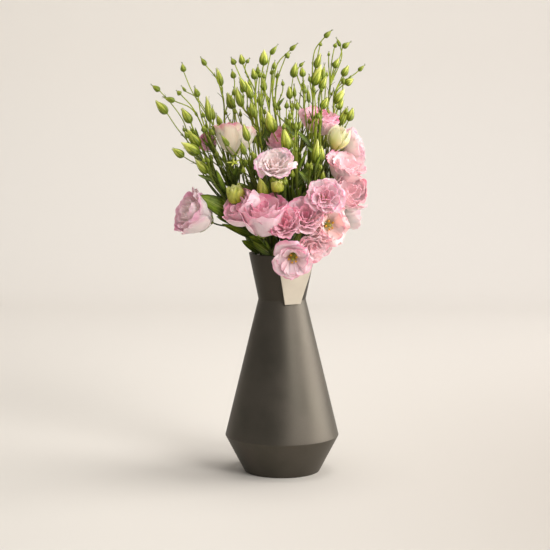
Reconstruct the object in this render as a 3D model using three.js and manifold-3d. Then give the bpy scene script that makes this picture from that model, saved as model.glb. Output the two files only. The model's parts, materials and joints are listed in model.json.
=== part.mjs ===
// A bouquet of cut lisianthus standing in its dark metal vase, in millimetres with +Z up.
// The origin is the middle of the vase's foot, on the surface that it stands on.
// The front of the bouquet faces -Y.

import * as THREE from 'three';
import { mergeVertices } from 'three/addons/utils/BufferGeometryUtils.js';
import Module from 'manifold-3d';

const wasm = await Module();
wasm.setup();

// Vase: outer radii and heights of the turned profile
const VASE = {
  footRadius: 60,
  shoulderRadius: 90.5,
  shoulderHeight: 58.5,
  waistRadius: 37.5,
  waistHeight: 277,
  rimRadius: 52.5,
  height: 350,
  wall: 2,
  floor: 3,
  footInset: 1,
  shoulderInset: 2.3,
  sides: 36,
};

// Clearance between pieces that touch on the real thing
const GAP = 0.35;
const WATER = { level: 150, sides: 14, inset: 1, holeClearance: 0.5 };

// Neck plate: a flat trapezoid with a strap that hooks over the rim
const PLATE = {
  azimuth: 24,
  bottomWidth: 26.5,
  topWidth: 56,
  bottomHeight: 274.5,
  topHeight: 331,
  thickness: 2,
  strapStart: 322,
  strapWidth: 20,
  strapThickness: 1.6,
  hookDrop: 9,
  hookLean: 1.4,
  slack: 0.2,
};

// Green parts
const STEM = { footRadius: 2.5, rimRadius: 2.1, topRadius: 0.9, sides: 4 };
const STEM_INSIDE = { planAtWaist: 0.68, straightTo: 60, bendFrom: 20 };
const TWIG = { rootRadius: 0.8, endRadius: 0.7, straight: 26, rootPull: 0.4, endPull: 0.35 };
const LEAN = { most: 5, share: 0.5 };
const RECEPTACLE = [[4, 3.4], [5.6, 3.6]];

// Buds: places along a bud and its half width there, as shares of its length and girth
const BUD = { profile: [[0.2, 0.92], [0.52, 0.9]], twist: 0.3, smallGirth: 9 };

// Leaves: places along a leaf and its half width there, and how it bends away from its stem
const LEAF = {
  profile: [[0, 0.22], [0.3, 0.9], [0.66, 0.84], [1, 0.08]],
  thickness: 1.3,
  tipThinning: 0.5,
  keel: 0.22,
  climb: 0.95,
  spread: 0.75,
  backward: 0.35,
  sag: 0.5,
  bend: 0.16,
  turn: 0.2,
  tilt: 0.35,
};

// Petals: sections along a petal as shares of the bloom's radius and depth, and its half angle
const PETAL = { thickness: 1.5, edge: 0.5, tipEdge: 0.3, cornerPull: 0.93, foot: [0.1, 0.05] };
const BLOOM_MIDDLE = 0.55;
const PETALS_PER_WHORL = 5;
const WHORL_EDGE = 0.12;
const WAVE = { height: 0.04, turns: 7 };
const HUB = { outerRadius: 4.2, outerHeight: 1.2, innerRadius: 3.7, innerHeight: 4.4 };
const CORE = { girth: 0.15, groove: 0.7, height: 0.45, tip: 0.86, turn: 1.4 };
const WHORLS = {
  open: {
    outer: [[0.4, 0.52, 34], [0.8, 0.86, 44], [1, 0.88, 26]],
    inner: [[0.42, 0.88, 43], [0.68, 1.06, 25]],
  },
  double: {
    outer: [[0.46, 0.42, 34], [0.88, 0.74, 44], [1.02, 0.86, 27]],
    inner: [[0.46, 0.76, 43], [0.68, 1.02, 27]],
  },
  goblet: {
    outer: [[0.56, 0.3, 35], [0.8, 0.72, 44], [1.02, 1, 27]],
    inner: [[0.44, 0.62, 43], [0.64, 1, 27]],
  },
};
const CROWDING = { start: 0.6, margin: 0.5 };

// The eye that the places in the bouquet were read from: a long lens in front of the vase
const VIEW = {
  eye: new THREE.Vector3(-11.17, -2654, 629),
  pitch: THREE.MathUtils.degToRad(6.76),
  focal: 1688,
  centre: 275,
};

// Point of the bouquet at a place of the picture, [across, down] in its pixels, and a depth y
function seen([across, down], y) {
  const u = (across - VIEW.centre) / VIEW.focal;
  const v = (VIEW.centre - down) / VIEW.focal;
  const away = y - VIEW.eye.y;
  const sine = Math.sin(VIEW.pitch);
  const cosine = Math.cos(VIEW.pitch);
  const rise = (away * (v * cosine - sine)) / (cosine + v * sine);
  const depth = away * cosine - rise * sine;
  return new THREE.Vector3(VIEW.eye.x + u * depth, y, VIEW.eye.z + rise);
}

// Layout rows. Places are picture pixels, sizes and depths are millimetres.
const bud = (tip, base, girth, fork, via = []) => ({ tip, base, girth, fork, via });
const leaf = (at, side, length, width, droop = 0) => ({ at, side, length, width, droop });
const spray = (name, rim, top, stem, buds, leaves) => ({ name, rim, top, stem, buds, leaves });
const bloom = (name, kind, at, y, radius, length, axis, carrier, fork) =>
  ({ name, kind, at, y, radius, length, axis, carrier, fork });

const SPRAYS = [
  spray('near_left', [-17, -35], -75, [[263, 236], [260, 226], [257, 217]], [],
    [leaf(243, -1, 34, 12, 0.5)]),
  spray('near_middle', [0, -37], -85, [[281, 235], [280, 210], [279, 190], [279, 183]],
    [bud([277, 180], [278, 193], 17, 214)],
    []),
  spray('near_right', [17, -35], -80, [[299, 236], [307, 220], [316, 206], [320, 201]], [],
    [leaf(232, 1, 30, 11, 0.2)]),
  spray('front_far_left', [-33, -17], -45, [[243, 218], [226, 192], [211, 173], [203, 161]],
    [bud([180, 141.5], [199, 154], 15, 0), bud([170.5, 147], [184, 156.5], 11, 178),
      bud([193.5, 157], [208, 173], 12, 190)],
    [leaf(212, -1, 55, 24, -0.3), leaf(236, -1, 42, 17, 0.7), leaf(184, -1, 32, 8, 0.1)]),
  spray('front_left', [-11, -19], -85, [[264, 215], [254, 180], [248, 163]],
    [bud([240, 138], [245, 155], 8, 0), bud([219, 132], [229, 146], 7, 178),
      bud([250, 147], [257, 163], 8, 188), bud([242.3, 121], [248.5, 141], 10, 172),
      bud([233, 184], [239, 204], 20, 226),
      bud([259, 176], [266, 200], 14, 236, [[270, 214]])],
    [leaf(212, 1, 40, 13), leaf(196, -1, 36, 11)]),
  spray('front_right', [11, -19], -52, [[295, 215], [297, 180], [297, 150], [296, 125]],
    [bud([297, 99], [297, 110], 6, 0), bud([282.5, 125], [288, 150], 15, 178),
      bud([302, 118], [298, 130], 6, 142)],
    [leaf(206, 1, 44, 14), leaf(188, -1, 30, 10)]),
  spray('front_far_right', [33, -17], -52, [[309, 215], [314, 188], [315, 172]],
    [bud([318, 136], [315, 163], 8, 0), bud([322, 144], [321, 161], 7, 180),
      bud([324, 168], [322, 182], 8, 200)],
    [leaf(204, 1, 34, 12), leaf(190, -1, 36, 12)]),
  spray('middle_far_left', [-42, 0], -6, [[240, 220], [222, 190], [207, 160], [196, 135], [192, 126]],
    [bud([180, 106], [191, 123], 12, 0), bud([154, 98.5], [167.5, 113.5], 12, 166, [[178, 129]]),
      bud([186.5, 128], [200, 146], 13, 172)],
    [leaf(226, -1, 40, 14, 0.3), leaf(200, 1, 38, 12), leaf(176, -1, 30, 8)]),
  spray('middle_left', [-25, 0], -6, [[250, 215], [228, 182], [214, 155], [210, 135], [210, 127]],
    [bud([206, 92.5], [210, 122], 10, 0), bud([212, 104], [213.5, 120], 7, 138),
      bud([215.5, 112], [221, 126], 8, 148), bud([194, 85], [198.5, 97], 8, 146, [[201, 114]]),
      bud([162, 97], [175, 101], 8, 156, [[193, 110]]), bud([176, 90], [181, 94.5], 7, 150, [[193, 108]])],
    [leaf(204, -1, 34, 11), leaf(186, 1, 32, 10)]),
  spray('middle_inner_left', [-8, 0], -6, [[270, 210], [264, 175], [260, 140], [250, 117], [246, 112]],
    [bud([235, 84], [242, 107], 11, 0), bud([238.5, 74], [246, 92], 9, 116),
      bud([244.5, 78], [251.5, 99], 10, 122), bud([250, 97], [252.5, 117], 7, 138),
      bud([254, 101], [255.5, 119], 7, 146), bud([259, 90], [261, 107], 5, 146)],
    [leaf(200, 1, 42, 13), leaf(180, -1, 34, 10)]),
  spray('middle_inner_right', [8, 0], -6, [[288, 210], [294, 172], [295, 140], [292, 115], [290.5, 104]],
    [bud([289, 84], [290, 99], 9, 0), bud([267, 109.5], [273.5, 132.5], 17, 172),
      bud([274, 96], [275, 108], 6, 136), bud([294, 83], [295, 97], 5, 120)],
    [leaf(198, -1, 38, 12), leaf(140, -1, 36, 12)]),
  spray('middle_right', [25, 0], -6, [[305, 210], [310, 170], [312, 130], [313, 100], [313.5, 90]],
    [bud([321.5, 63], [313.5, 85.5], 14, 0), bud([333, 29], [324.5, 37.5], 7, 108, [[313, 60], [316, 48]]),
      bud([321.5, 41], [320, 46], 5, 96, [[317, 60]]), bud([321.5, 51], [315.5, 68], 9, 100)],
    [leaf(196, -1, 36, 12), leaf(146, -1, 34, 9), leaf(174, 1, 34, 10)]),
  spray('middle_far_right', [42, 0], -6, [[320, 212], [322, 175], [320, 140], [320, 116]],
    [bud([328.5, 95.5], [321.5, 109], 10, 0), bud([327, 74], [320.5, 89.5], 10, 122),
      bud([325, 62], [322, 80], 7, 112)],
    [leaf(214, 1, 36, 13), leaf(160, -1, 30, 9)]),
  spray('back_far_left', [-32, 18], 42, [[243, 215], [231, 170], [225, 130], [224, 105], [222.5, 94]],
    [bud([216, 65], [221.5, 86], 9, 0), bud([200, 56], [206, 65.5], 7, 98, [[217, 79]]),
      bud([182, 61.5], [184, 72], 8, 150, [[205, 112], [192, 91]]),
      bud([226.5, 90], [232.5, 109], 12, 150),
      bud([231.5, 68.5], [234, 78.5], 8, 120),
      bud([150.5, 84], [160, 91], 8, 178, [[192, 142], [183, 120], [171, 103]])],
    [leaf(205, -1, 40, 13), leaf(180, 1, 38, 12), leaf(140, -1, 30, 9)]),
  spray('back_left', [-11, 18], 42, [[266, 210], [260, 165], [257, 120], [255.5, 96], [255.5, 86]],
    [bud([252.5, 66.5], [255, 79.5], 9, 0), bud([230.5, 56.5], [235, 64.5], 8, 112, [[240, 76]]),
      bud([240.5, 52.5], [243, 64.5], 9, 106, [[250, 82]]), bud([250, 57.5], [246.5, 63], 5, 96),
      bud([258, 63.5], [257.5, 74], 6, 94)],
    [leaf(198, -1, 36, 12), leaf(140, 1, 36, 11)]),
  spray('back_right', [11, 18], 42, [[285, 210], [284, 165], [277, 125], [272.5, 95], [272.5, 80]],
    [bud([275, 59.5], [273.5, 69], 6, 0), bud([298.5, 42.5], [290, 50.5], 6, 90, [[278, 63]]),
      bud([291, 52.5], [285.5, 57], 8, 110, [[277.5, 80]])],
    [leaf(200, -1, 36, 12), leaf(112, 1, 24, 6)]),
  spray('back_far_right', [32, 18], 42, [[316, 222], [326, 195], [331, 172], [330, 160]], [],
    [leaf(220, 1, 36, 12), leaf(188, -1, 30, 9)]),
  spray('far_left', [-17, 34], 85, [[271, 205], [266, 160], [262, 115], [261.5, 85], [262, 73]],
    [bud([264, 48.5], [263.5, 65.5], 13, 0), bud([278.5, 43.5], [270.5, 54.5], 7, 104, [[266, 76]]),
      bud([262.5, 76], [264.5, 91], 9, 112)],
    [leaf(204, 1, 40, 13), leaf(150, -1, 34, 10)]),
  spray('far_middle', [0, 36], 85, [[291, 205], [299, 160], [303, 120], [304, 96], [303.5, 86]],
    [bud([301.5, 65.5], [303, 77], 9, 0), bud([296.5, 60.5], [293, 77.5], 11, 112, [[292, 92]]),
      bud([305, 61], [299.5, 66.5], 5, 100), bud([303.5, 80], [305, 94], 7, 116),
      bud([307.5, 85], [309, 103], 6, 126)],
    [leaf(200, -1, 40, 13), leaf(146, 1, 32, 10)]),
  spray('far_right', [17, 34], 100, [[305, 205], [318, 160], [326, 120], [329, 95], [331, 80]],
    [bud([339.5, 57], [334, 68], 9, 0), bud([337, 41.5], [334.5, 47.5], 6, 92, [[332, 60]]),
      bud([336, 36.5], [340.5, 46.5], 5, 86, [[342, 56]]),
      bud([352, 41], [342.5, 47.5], 8, 82, [[341, 54]])],
    [leaf(196, 1, 38, 12), leaf(150, 1, 30, 9)]),
  spray('far_outer_right', [32, 27], 105, [[318, 205], [331, 165], [335, 130], [334, 110], [334, 96]],
    [bud([349.5, 64], [342.5, 76], 10, 0), bud([366, 64], [358.5, 71], 6, 96),
      bud([355, 78], [345, 84], 11, 104), bud([345, 88], [335, 103.5], 13, 122),
      bud([344, 98], [338, 109.5], 9, 124), bud([348, 105], [340.5, 125], 12, 142),
      bud([354, 106], [348.5, 121], 11, 146)],
    [leaf(190, 1, 36, 12)]),
];

const BLOOMS = [
  bloom('side_left', 'goblet', [196, 214], -26, 33, 52, [-0.88, -0.42, 0.02], 'front_far_left', 224),
  bloom('goblet_front', 'goblet', [263, 218], -74, 34, 58, [-0.05, -0.25, 0.96], 'near_left', 250),
  bloom('pale_left', 'goblet', [240, 216], -56, 19, 34, [-0.85, -0.4, -0.02], 'near_left', 0),
  bloom('deep_middle', 'double', [286, 226], -88, 22, 34, [-0.25, -0.75, 0.6], 'near_middle', 246),
  bloom('inner_right', 'goblet', [303, 213], -62, 17, 36, [0.05, -0.3, 0.95], 'near_right', 238),
  bloom('swirl_right', 'double', [325, 197], -74, 31, 30, [0.1, -0.9, 0.35], 'near_right', 0),
  bloom('open_right', 'open', [331, 223], -56, 29, 28, [0.62, -0.7, -0.2], 'near_right', 234),
  bloom('low_right', 'double', [314, 245], -62, 22, 32, [0.35, -0.75, -0.45], 'near_right', 252),
  bloom('open_low', 'open', [293, 258], -96, 30, 28, [-0.05, -0.93, -0.3], 'near_middle', 252),
  bloom('deep_far_right', 'double', [352, 192], -12, 27, 34, [0.75, -0.6, 0.1], 'back_far_right', 208),
  bloom('pale_right', 'double', [345, 170], 2, 22, 30, [0.6, -0.55, 0.5], 'back_far_right', 186),
  bloom('pale_back_right', 'goblet', [354, 147], 45, 23, 36, [0.8, 0.1, 0.1], 'back_far_right', 176),
  bloom('low_back_right', 'goblet', [351, 217], 42, 19, 34, [0.85, 0.2, 0.1], 'back_far_right', 222),
  bloom('cream_right', 'goblet', [339, 138], 12, 17, 38, [0.35, -0.15, 0.9], 'back_far_right', 0),
  bloom('top_right', 'double', [323, 119], 40, 27, 36, [0.1, -0.35, 0.93], 'far_middle', 150),
  bloom('centre', 'double', [276, 164], -76, 31, 34, [-0.12, -0.72, 0.66], 'near_middle', 0),
  bloom('cup_left', 'goblet', [236, 138], -15, 31, 50, [0.12, 0.3, 0.92], 'middle_left', 182),
  bloom('mauve_left', 'goblet', [207, 142], 30, 13, 28, [-0.6, -0.2, 0.75], 'back_far_left', 176),
  bloom('pink_behind', 'double', [281, 141], 14, 17, 28, [-0.1, -0.5, 0.85], 'back_right', 172),
  bloom('back_left', 'double', [252, 212], 84, 30, 36, [-0.45, 0.85, 0.2], 'far_left', 232),
  bloom('back_right', 'double', [302, 206], 92, 31, 36, [0.35, 0.9, 0.2], 'far_middle', 232),
  bloom('back_top', 'goblet', [282, 172], 92, 28, 44, [0.1, 0.8, 0.55], 'far_left', 196),
];

// Stamens and pistil of the blooms that are fully open
const HEARTS = ['open_low', 'open_right'];
const HEART = {
  length: 15,
  pistil: [[0, 2.4], [0.3, 2.6], [0.5, 0.9], [0.86, 0.9], [1, 2]],
  stamens: 5,
  stamen: [[0.1, 1.2, 0.6], [0.55, 4.4, 1.3], [0.8, 5, 0]],
};

// Colours
const COLOURS = {
  metal: 0x4a4642,
  plate: 0xdad0ba,
  water: 0xdfe8e6,
  green: 0x7f9440,
  pink: 0xeeb9c6,
  cream: 0xeeeccb,
  yellow: 0xe0b73a,
};

// Solids are made from plain triangles and joined by union
function solid(positions, triangles) {
  let volume = 0;
  for (const [a, b, c] of triangles) {
    volume += positions[a].dot(new THREE.Vector3().crossVectors(positions[b], positions[c]));
  }
  const faces = volume < 0 ? triangles.map(([a, b, c]) => [a, c, b]) : triangles;
  return new wasm.Manifold(new wasm.Mesh({
    numProp: 3,
    vertProperties: new Float32Array(positions.flatMap((point) => point.toArray())),
    triVerts: new Uint32Array(faces.flat()),
  }));
}

function solidOf(geometry) {
  const bare = geometry.clone();
  bare.deleteAttribute('normal');
  bare.deleteAttribute('uv');
  const merged = mergeVertices(bare, 1e-4);
  const faces = [];
  const index = merged.index.array;
  for (let i = 0; i < index.length; i += 3) {
    const face = [index[i], index[i + 1], index[i + 2]];
    if (new Set(face).size === 3) faces.push(...face);
  }
  return new wasm.Manifold(new wasm.Mesh({
    numProp: 3,
    vertProperties: new Float32Array(merged.attributes.position.array),
    triVerts: new Uint32Array(faces),
  }));
}

function fuse(solids) {
  return wasm.Manifold.union(solids);
}

function meshOf(name, body, material) {
  const { vertProperties, triVerts } = body.getMesh();
  const geometry = new THREE.BufferGeometry();
  geometry.setAttribute('position', new THREE.BufferAttribute(new Float32Array(vertProperties), 3));
  geometry.setIndex(new THREE.BufferAttribute(new Uint32Array(triVerts), 1));
  geometry.computeVertexNormals();
  const mesh = new THREE.Mesh(geometry, material);
  mesh.name = name;
  return mesh;
}

// Skin over rings of equally many points. A last ring of one point is a tip.
function loft(rings) {
  const positions = rings.flat();
  const count = rings[0].length;
  const triangles = [];
  for (let side = 1; side < count - 1; side += 1) triangles.push([0, side + 1, side]);
  let start = 0;
  for (let ring = 1; ring < rings.length; ring += 1) {
    const next = start + count;
    for (let side = 0; side < count; side += 1) {
      const other = (side + 1) % count;
      if (rings[ring].length === 1) {
        triangles.push([start + side, start + other, next]);
      } else {
        triangles.push([start + side, start + other, next + other]);
        triangles.push([start + side, next + other, next + side]);
      }
    }
    start = next;
  }
  if (rings[rings.length - 1].length > 1) {
    for (let side = 1; side < count - 1; side += 1) triangles.push([start, start + side, start + side + 1]);
  }
  return solid(positions, triangles);
}

// Thin blade from sections of left edge, top, right edge and underside, split alike on both faces
function blade(sections) {
  const positions = sections.flat();
  const triangles = [[0, 1, 3], [1, 2, 3]];
  for (let row = 1; row < sections.length; row += 1) {
    const [l0, t0, r0, b0] = [0, 1, 2, 3].map((corner) => 4 * (row - 1) + corner);
    const [l1, t1, r1, b1] = [0, 1, 2, 3].map((corner) => 4 * row + corner);
    triangles.push([l0, t1, t0], [l0, l1, t1], [t0, r1, r0], [t0, t1, r1]);
    triangles.push([l0, b0, b1], [l0, b1, l1], [b0, r0, r1], [b0, r1, b1]);
  }
  const last = 4 * (sections.length - 1);
  triangles.push([last, last + 3, last + 1], [last + 1, last + 3, last + 2]);
  return solid(positions, triangles);
}

// Two directions square to an axis
function sideways(axis) {
  const hint = Math.abs(axis.z) < 0.9 ? new THREE.Vector3(0, 0, 1) : new THREE.Vector3(0, -1, 0);
  const across = new THREE.Vector3().crossVectors(axis, hint).normalize();
  const over = new THREE.Vector3().crossVectors(axis, across).normalize();
  return [across, over];
}

function ringAt(centre, across, over, radius, sides, turn = 0) {
  return Array.from({ length: sides }, (_, side) => {
    const angle = turn + (side / sides) * 2 * Math.PI;
    return centre.clone()
      .addScaledVector(across, radius * Math.cos(angle))
      .addScaledVector(over, radius * Math.sin(angle));
  });
}

// Skin round a line of points, each with its radius and turn. A radius of 0 closes it in a tip.
function limb(line, sides) {
  let across = null;
  const rings = line.map(({ point, radius, turn = 0 }, place) => {
    if (radius === 0) return [point];
    const before = line[Math.max(place - 1, 0)].point;
    const after = line[Math.min(place + 1, line.length - 1)].point;
    const along = after.clone().sub(before).normalize();
    if (place === 0 && Math.abs(along.z) > 0.999) along.set(0, 0, 1);
    if (across === null) [across] = sideways(along);
    across.addScaledVector(along, -across.dot(along)).normalize();
    const over = new THREE.Vector3().crossVectors(along, across);
    return ringAt(point, across, over, radius, sides, turn);
  });
  return loft(rings);
}

// Depth of a spray's sheet at a height: it fans out from the rim to the top of the bouquet
const BOUQUET_TOP = 700;
function seenInSheet(row, place) {
  let y = row.rim[1];
  for (let pass = 0; pass < 4; pass += 1) {
    const share = (seen(place, y).z - VASE.height) / (BOUQUET_TOP - VASE.height);
    y = row.rim[1] + (row.top - row.rim[1]) * Math.max(share, 0);
  }
  return seen(place, y);
}

// Curve of a spray's main stem: up inside the vase, through its place at the rim, then as seen
function stemCurve(row) {
  const [x, y] = row.rim;
  const waist = [x * STEM_INSIDE.planAtWaist, y * STEM_INSIDE.planAtWaist];
  const points = [
    new THREE.Vector3(...waist, VASE.waistHeight - STEM_INSIDE.straightTo),
    new THREE.Vector3(...waist, VASE.waistHeight - STEM_INSIDE.bendFrom),
    new THREE.Vector3(x, y, VASE.height),
    ...row.stem.map((place) => seenInSheet(row, place)),
  ];
  return new THREE.CatmullRomCurve3(points, false, 'centripetal');
}

// Radius of a main stem at a height
function stemRadius(z, top) {
  if (z < VASE.height) {
    return THREE.MathUtils.mapLinear(z, 0, VASE.height, STEM.footRadius, STEM.rimRadius);
  }
  return THREE.MathUtils.mapLinear(z, VASE.height, top, STEM.rimRadius, STEM.topRadius);
}

// Line of a main stem from the vase's floor to the foot of what it carries at its end
function stemLine(row, end) {
  const curve = stemCurve(row);
  const count = 3 + row.stem.length;
  const upper = Array.from({ length: count + 1 }, (_, step) => curve.getPoint(step / count));
  const foot = upper[0].clone().setZ(VASE.floor + GAP);
  return [foot, ...upper, end.base].map((point) => ({ point, radius: stemRadius(point.z, end.base.z) }));
}

// Point and direction on a stem at a height down the picture
function onStem(row, down) {
  const curve = stemCurve(row);
  const steps = 200;
  let best = 1;
  let nearest = Infinity;
  for (let step = 0; step <= steps; step += 1) {
    const point = curve.getPoint(step / steps);
    const off = Math.abs(downOf(point) - down);
    if (off < nearest) {
      nearest = off;
      best = step / steps;
    }
  }
  return { point: curve.getPoint(best), along: curve.getTangent(best) };
}

// Height down the picture at which a point is seen
function downOf(point) {
  const away = point.clone().sub(VIEW.eye);
  const sine = Math.sin(VIEW.pitch);
  const cosine = Math.cos(VIEW.pitch);
  const depth = away.y * cosine - away.z * sine;
  const rise = away.y * sine + away.z * cosine;
  return VIEW.centre - (VIEW.focal * rise) / depth;
}

// Side branches lean a little out of their sheet: forward on the left and back on the right
function leaned(row, place, middle) {
  const point = seenInSheet(row, place);
  const side = Math.sign(point.x - middle.x);
  point.y += side * Math.min(LEAN.most, Math.abs(point.x - middle.x) * LEAN.share);
  return point;
}

// Points of a curved twig from a place on a stem to the foot of what it carries
function twigLine(root, along, end, axis, via) {
  const reach = root.distanceTo(end);
  const curve = via.length
    ? new THREE.CatmullRomCurve3([root, ...via, end], false, 'centripetal')
    : new THREE.CubicBezierCurve3(
      root,
      root.clone().addScaledVector(along, reach * TWIG.rootPull),
      end.clone().addScaledVector(axis, -reach * TWIG.endPull),
      end,
    );
  const steps = (reach > TWIG.straight ? 2 : 1) + via.length;
  return Array.from({ length: steps + 1 }, (_, step) => ({
    point: curve.getPoint(step / steps),
    radius: THREE.MathUtils.lerp(TWIG.rootRadius, TWIG.endRadius, step / steps),
  }));
}

// Closed bud at the end of a twig or stem: a twisted spindle
function budLine(base, tip, girth) {
  const rows = BUD.profile.map(([share, width], row) => ({
    point: base.clone().lerp(tip, share),
    radius: (girth / 2) * width,
    turn: (row + 1) * BUD.twist,
  }));
  return [...rows, { point: tip, radius: 0 }];
}

// Receptacle that carries a bloom
function receptacleLine(base, axis) {
  return RECEPTACLE.map(([height, radius]) => ({
    point: base.clone().addScaledVector(axis, height),
    radius,
  }));
}

// Lance-shaped leaf with a keel, that bends out from its stem
function leafBody(row, spec) {
  const { point, along } = onStem(row, spec.at);
  const outward = new THREE.Vector3(spec.side, spec.side * LEAF.backward, -spec.droop * LEAF.sag).normalize();
  const climb = LEAF.climb - spec.droop;
  const heading = along.clone().multiplyScalar(climb).addScaledVector(outward, LEAF.spread).normalize();
  const face = new THREE.Vector3(-LEAF.turn * spec.side, -1, LEAF.tilt);
  face.addScaledVector(heading, -face.dot(heading)).normalize();
  const broad = new THREE.Vector3().crossVectors(heading, face).normalize();
  const sections = LEAF.profile.map(([share, width]) => {
    const bend = outward.clone().multiplyScalar(spec.length * LEAF.bend * share * share);
    const middle = point.clone().addScaledVector(heading, spec.length * share).add(bend);
    const half = (spec.width / 2) * width;
    const keel = middle.clone().addScaledVector(face, -half * LEAF.keel);
    const thick = (LEAF.thickness / 2) * (1 - LEAF.tipThinning * share);
    return [
      middle.clone().addScaledVector(broad, -half),
      keel.clone().addScaledVector(face, thick),
      middle.clone().addScaledVector(broad, half),
      keel.clone().addScaledVector(face, -thick),
    ];
  });
  return blade(sections);
}

// Frame of a bloom: the middle of its body, its foot and its axis
function bloomFrame(row) {
  const axis = new THREE.Vector3(...row.axis).normalize();
  const middle = seen(row.at, row.y);
  const foot = middle.clone().addScaledVector(axis, -row.length * BLOOM_MIDDLE);
  const [across, over] = sideways(axis);
  return { axis, middle, foot, across, over };
}

// Neighbours share the room between them: past a part of the way to the plane that parts two
// blooms, a point is drawn back so that it never reaches that plane
function crowd(point, row, frame) {
  for (const other of BLOOMS) {
    if (other === row) continue;
    const gap = seen(other.at, other.y).sub(frame.middle);
    const distance = gap.length();
    if (distance > row.radius + other.radius) continue;
    const way = gap.divideScalar(distance);
    const half = (distance * row.radius) / (row.radius + other.radius) - CROWDING.margin;
    const start = half * CROWDING.start;
    const reach = point.clone().sub(frame.middle).dot(way);
    if (reach <= start) continue;
    const room = half - start;
    const kept = start + room * (1 - Math.exp(-(reach - start) / room));
    point.addScaledVector(way, kept - reach);
  }
  return point;
}

// Sections of a petal from the hub outwards: its left edge goes under its neighbour's right edge
function petal(row, frame, outline, azimuth) {
  const place = (radius, height, angle) => frame.foot.clone()
    .addScaledVector(frame.axis, height)
    .addScaledVector(frame.across, radius * Math.cos(angle))
    .addScaledVector(frame.over, radius * Math.sin(angle));
  return outline.map(([reach, rise, spread], index) => {
    const [lowReach, lowRise] = index ? outline[index - 1] : PETAL.foot;
    const [highReach, highRise] = outline[Math.min(index + 1, outline.length - 1)];
    const slope = new THREE.Vector2(
      (highReach - lowReach) * row.radius,
      (highRise - lowRise) * row.length,
    ).normalize();
    const last = index === outline.length - 1;
    const radius = reach * row.radius;
    const height = rise * row.length;
    const half = THREE.MathUtils.degToRad(spread);
    const tuck = WHORL_EDGE * radius;
    const thick = PETAL.thickness * (last ? PETAL.tipEdge : PETAL.edge);
    const pull = last ? PETAL.cornerPull : 1;
    const at = (angle, offset, share) => {
      const off = offset + WAVE.height * radius * reach * Math.sin(WAVE.turns * angle + row.radius);
      return crowd(place(radius * share + slope.y * off, height * share - slope.x * off, angle), row, frame);
    };
    const middle = at(azimuth, 0, 1);
    const normal = place(slope.y, -slope.x, azimuth).sub(frame.foot).normalize();
    return [
      at(azimuth - half, -tuck, pull),
      middle.clone().addScaledVector(normal, -thick),
      at(azimuth + half, tuck, pull),
      middle.clone().addScaledVector(normal, thick),
    ];
  });
}

// A whole bloom in one skin: a ring of petals round the hub, a second ring inside it and a core
function bloomBody(row) {
  const frame = bloomFrame(row);
  const { outer, inner } = WHORLS[row.kind];
  const positions = [];
  const triangles = [];
  const add = (point) => positions.push(point) - 1;
  const at = (radius, height, angle) => frame.foot.clone()
    .addScaledVector(frame.axis, height)
    .addScaledVector(frame.across, radius * Math.cos(angle))
    .addScaledVector(frame.over, radius * Math.sin(angle));
  const step = Math.PI / PETALS_PER_WHORL;
  const band = (low, high) => low.forEach((corner, place) => {
    const next = (place + 1) % low.length;
    triangles.push([corner, low[next], high[next]], [corner, high[next], high[place]]);
  });
  const whorl = (outline, radius, height, start) => {
    const corners = [];
    const tops = [];
    const unders = [];
    for (let i = 0; i < PETALS_PER_WHORL; i += 1) {
      const middle = start + 2 * i * step;
      tops.push(add(at(radius, height + PETAL.thickness / 2, middle)));
      unders.push(add(at(radius, height - PETAL.thickness / 2, middle)));
      corners.push(add(at(radius, height, middle + step)));
    }
    for (let i = 0; i < PETALS_PER_WHORL; i += 1) {
      let [l0, t0, r0, b0] = [corners.at(i - 1), tops[i], corners[i], unders[i]];
      for (const section of petal(row, frame, outline, start + 2 * i * step)) {
        const [l1, t1, r1, b1] = section.map(add);
        triangles.push([l0, l1, t1], [l0, t1, t0], [t0, t1, r1], [t0, r1, r0]);
        triangles.push([l0, b0, b1], [l0, b1, l1], [b0, r0, r1], [b0, r1, b1]);
        [l0, t0, r0, b0] = [l1, t1, r1, b1];
      }
      triangles.push([l0, b0, t0], [t0, b0, r0]);
    }
    const ring = (mids) => mids.flatMap((mid, i) => [mid, corners[i]]);
    return { top: ring(tops), under: ring(unders) };
  };
  const first = whorl(outer, HUB.outerRadius, HUB.outerHeight, row.radius);
  const second = whorl(inner, HUB.innerRadius, HUB.innerHeight, row.radius + step);
  const { under } = first;
  for (let side = 1; side < under.length - 1; side += 1) {
    triangles.push([under[0], under[side + 1], under[side]]);
  }
  const lower = second.under;
  band(first.top, [lower.at(-1), ...lower.slice(0, -1)]);
  if (row.kind !== 'double') {
    for (let side = 1; side < second.top.length - 1; side += 1) {
      triangles.push([second.top[0], second.top[side], second.top[side + 1]]);
    }
  } else {
    const waist = second.top.map((_, side) => add(crowd(at(
      row.radius * CORE.girth * (side % 2 ? CORE.groove : 1),
      row.length * CORE.height,
      row.radius + step * (side + CORE.turn),
    ), row, frame)));
    const tip = add(crowd(at(0, row.length * CORE.tip, 0), row, frame));
    band(second.top, waist);
    waist.forEach((corner, side) => triangles.push([corner, waist[(side + 1) % waist.length], tip]));
  }
  return solid(positions, triangles);
}

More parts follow.
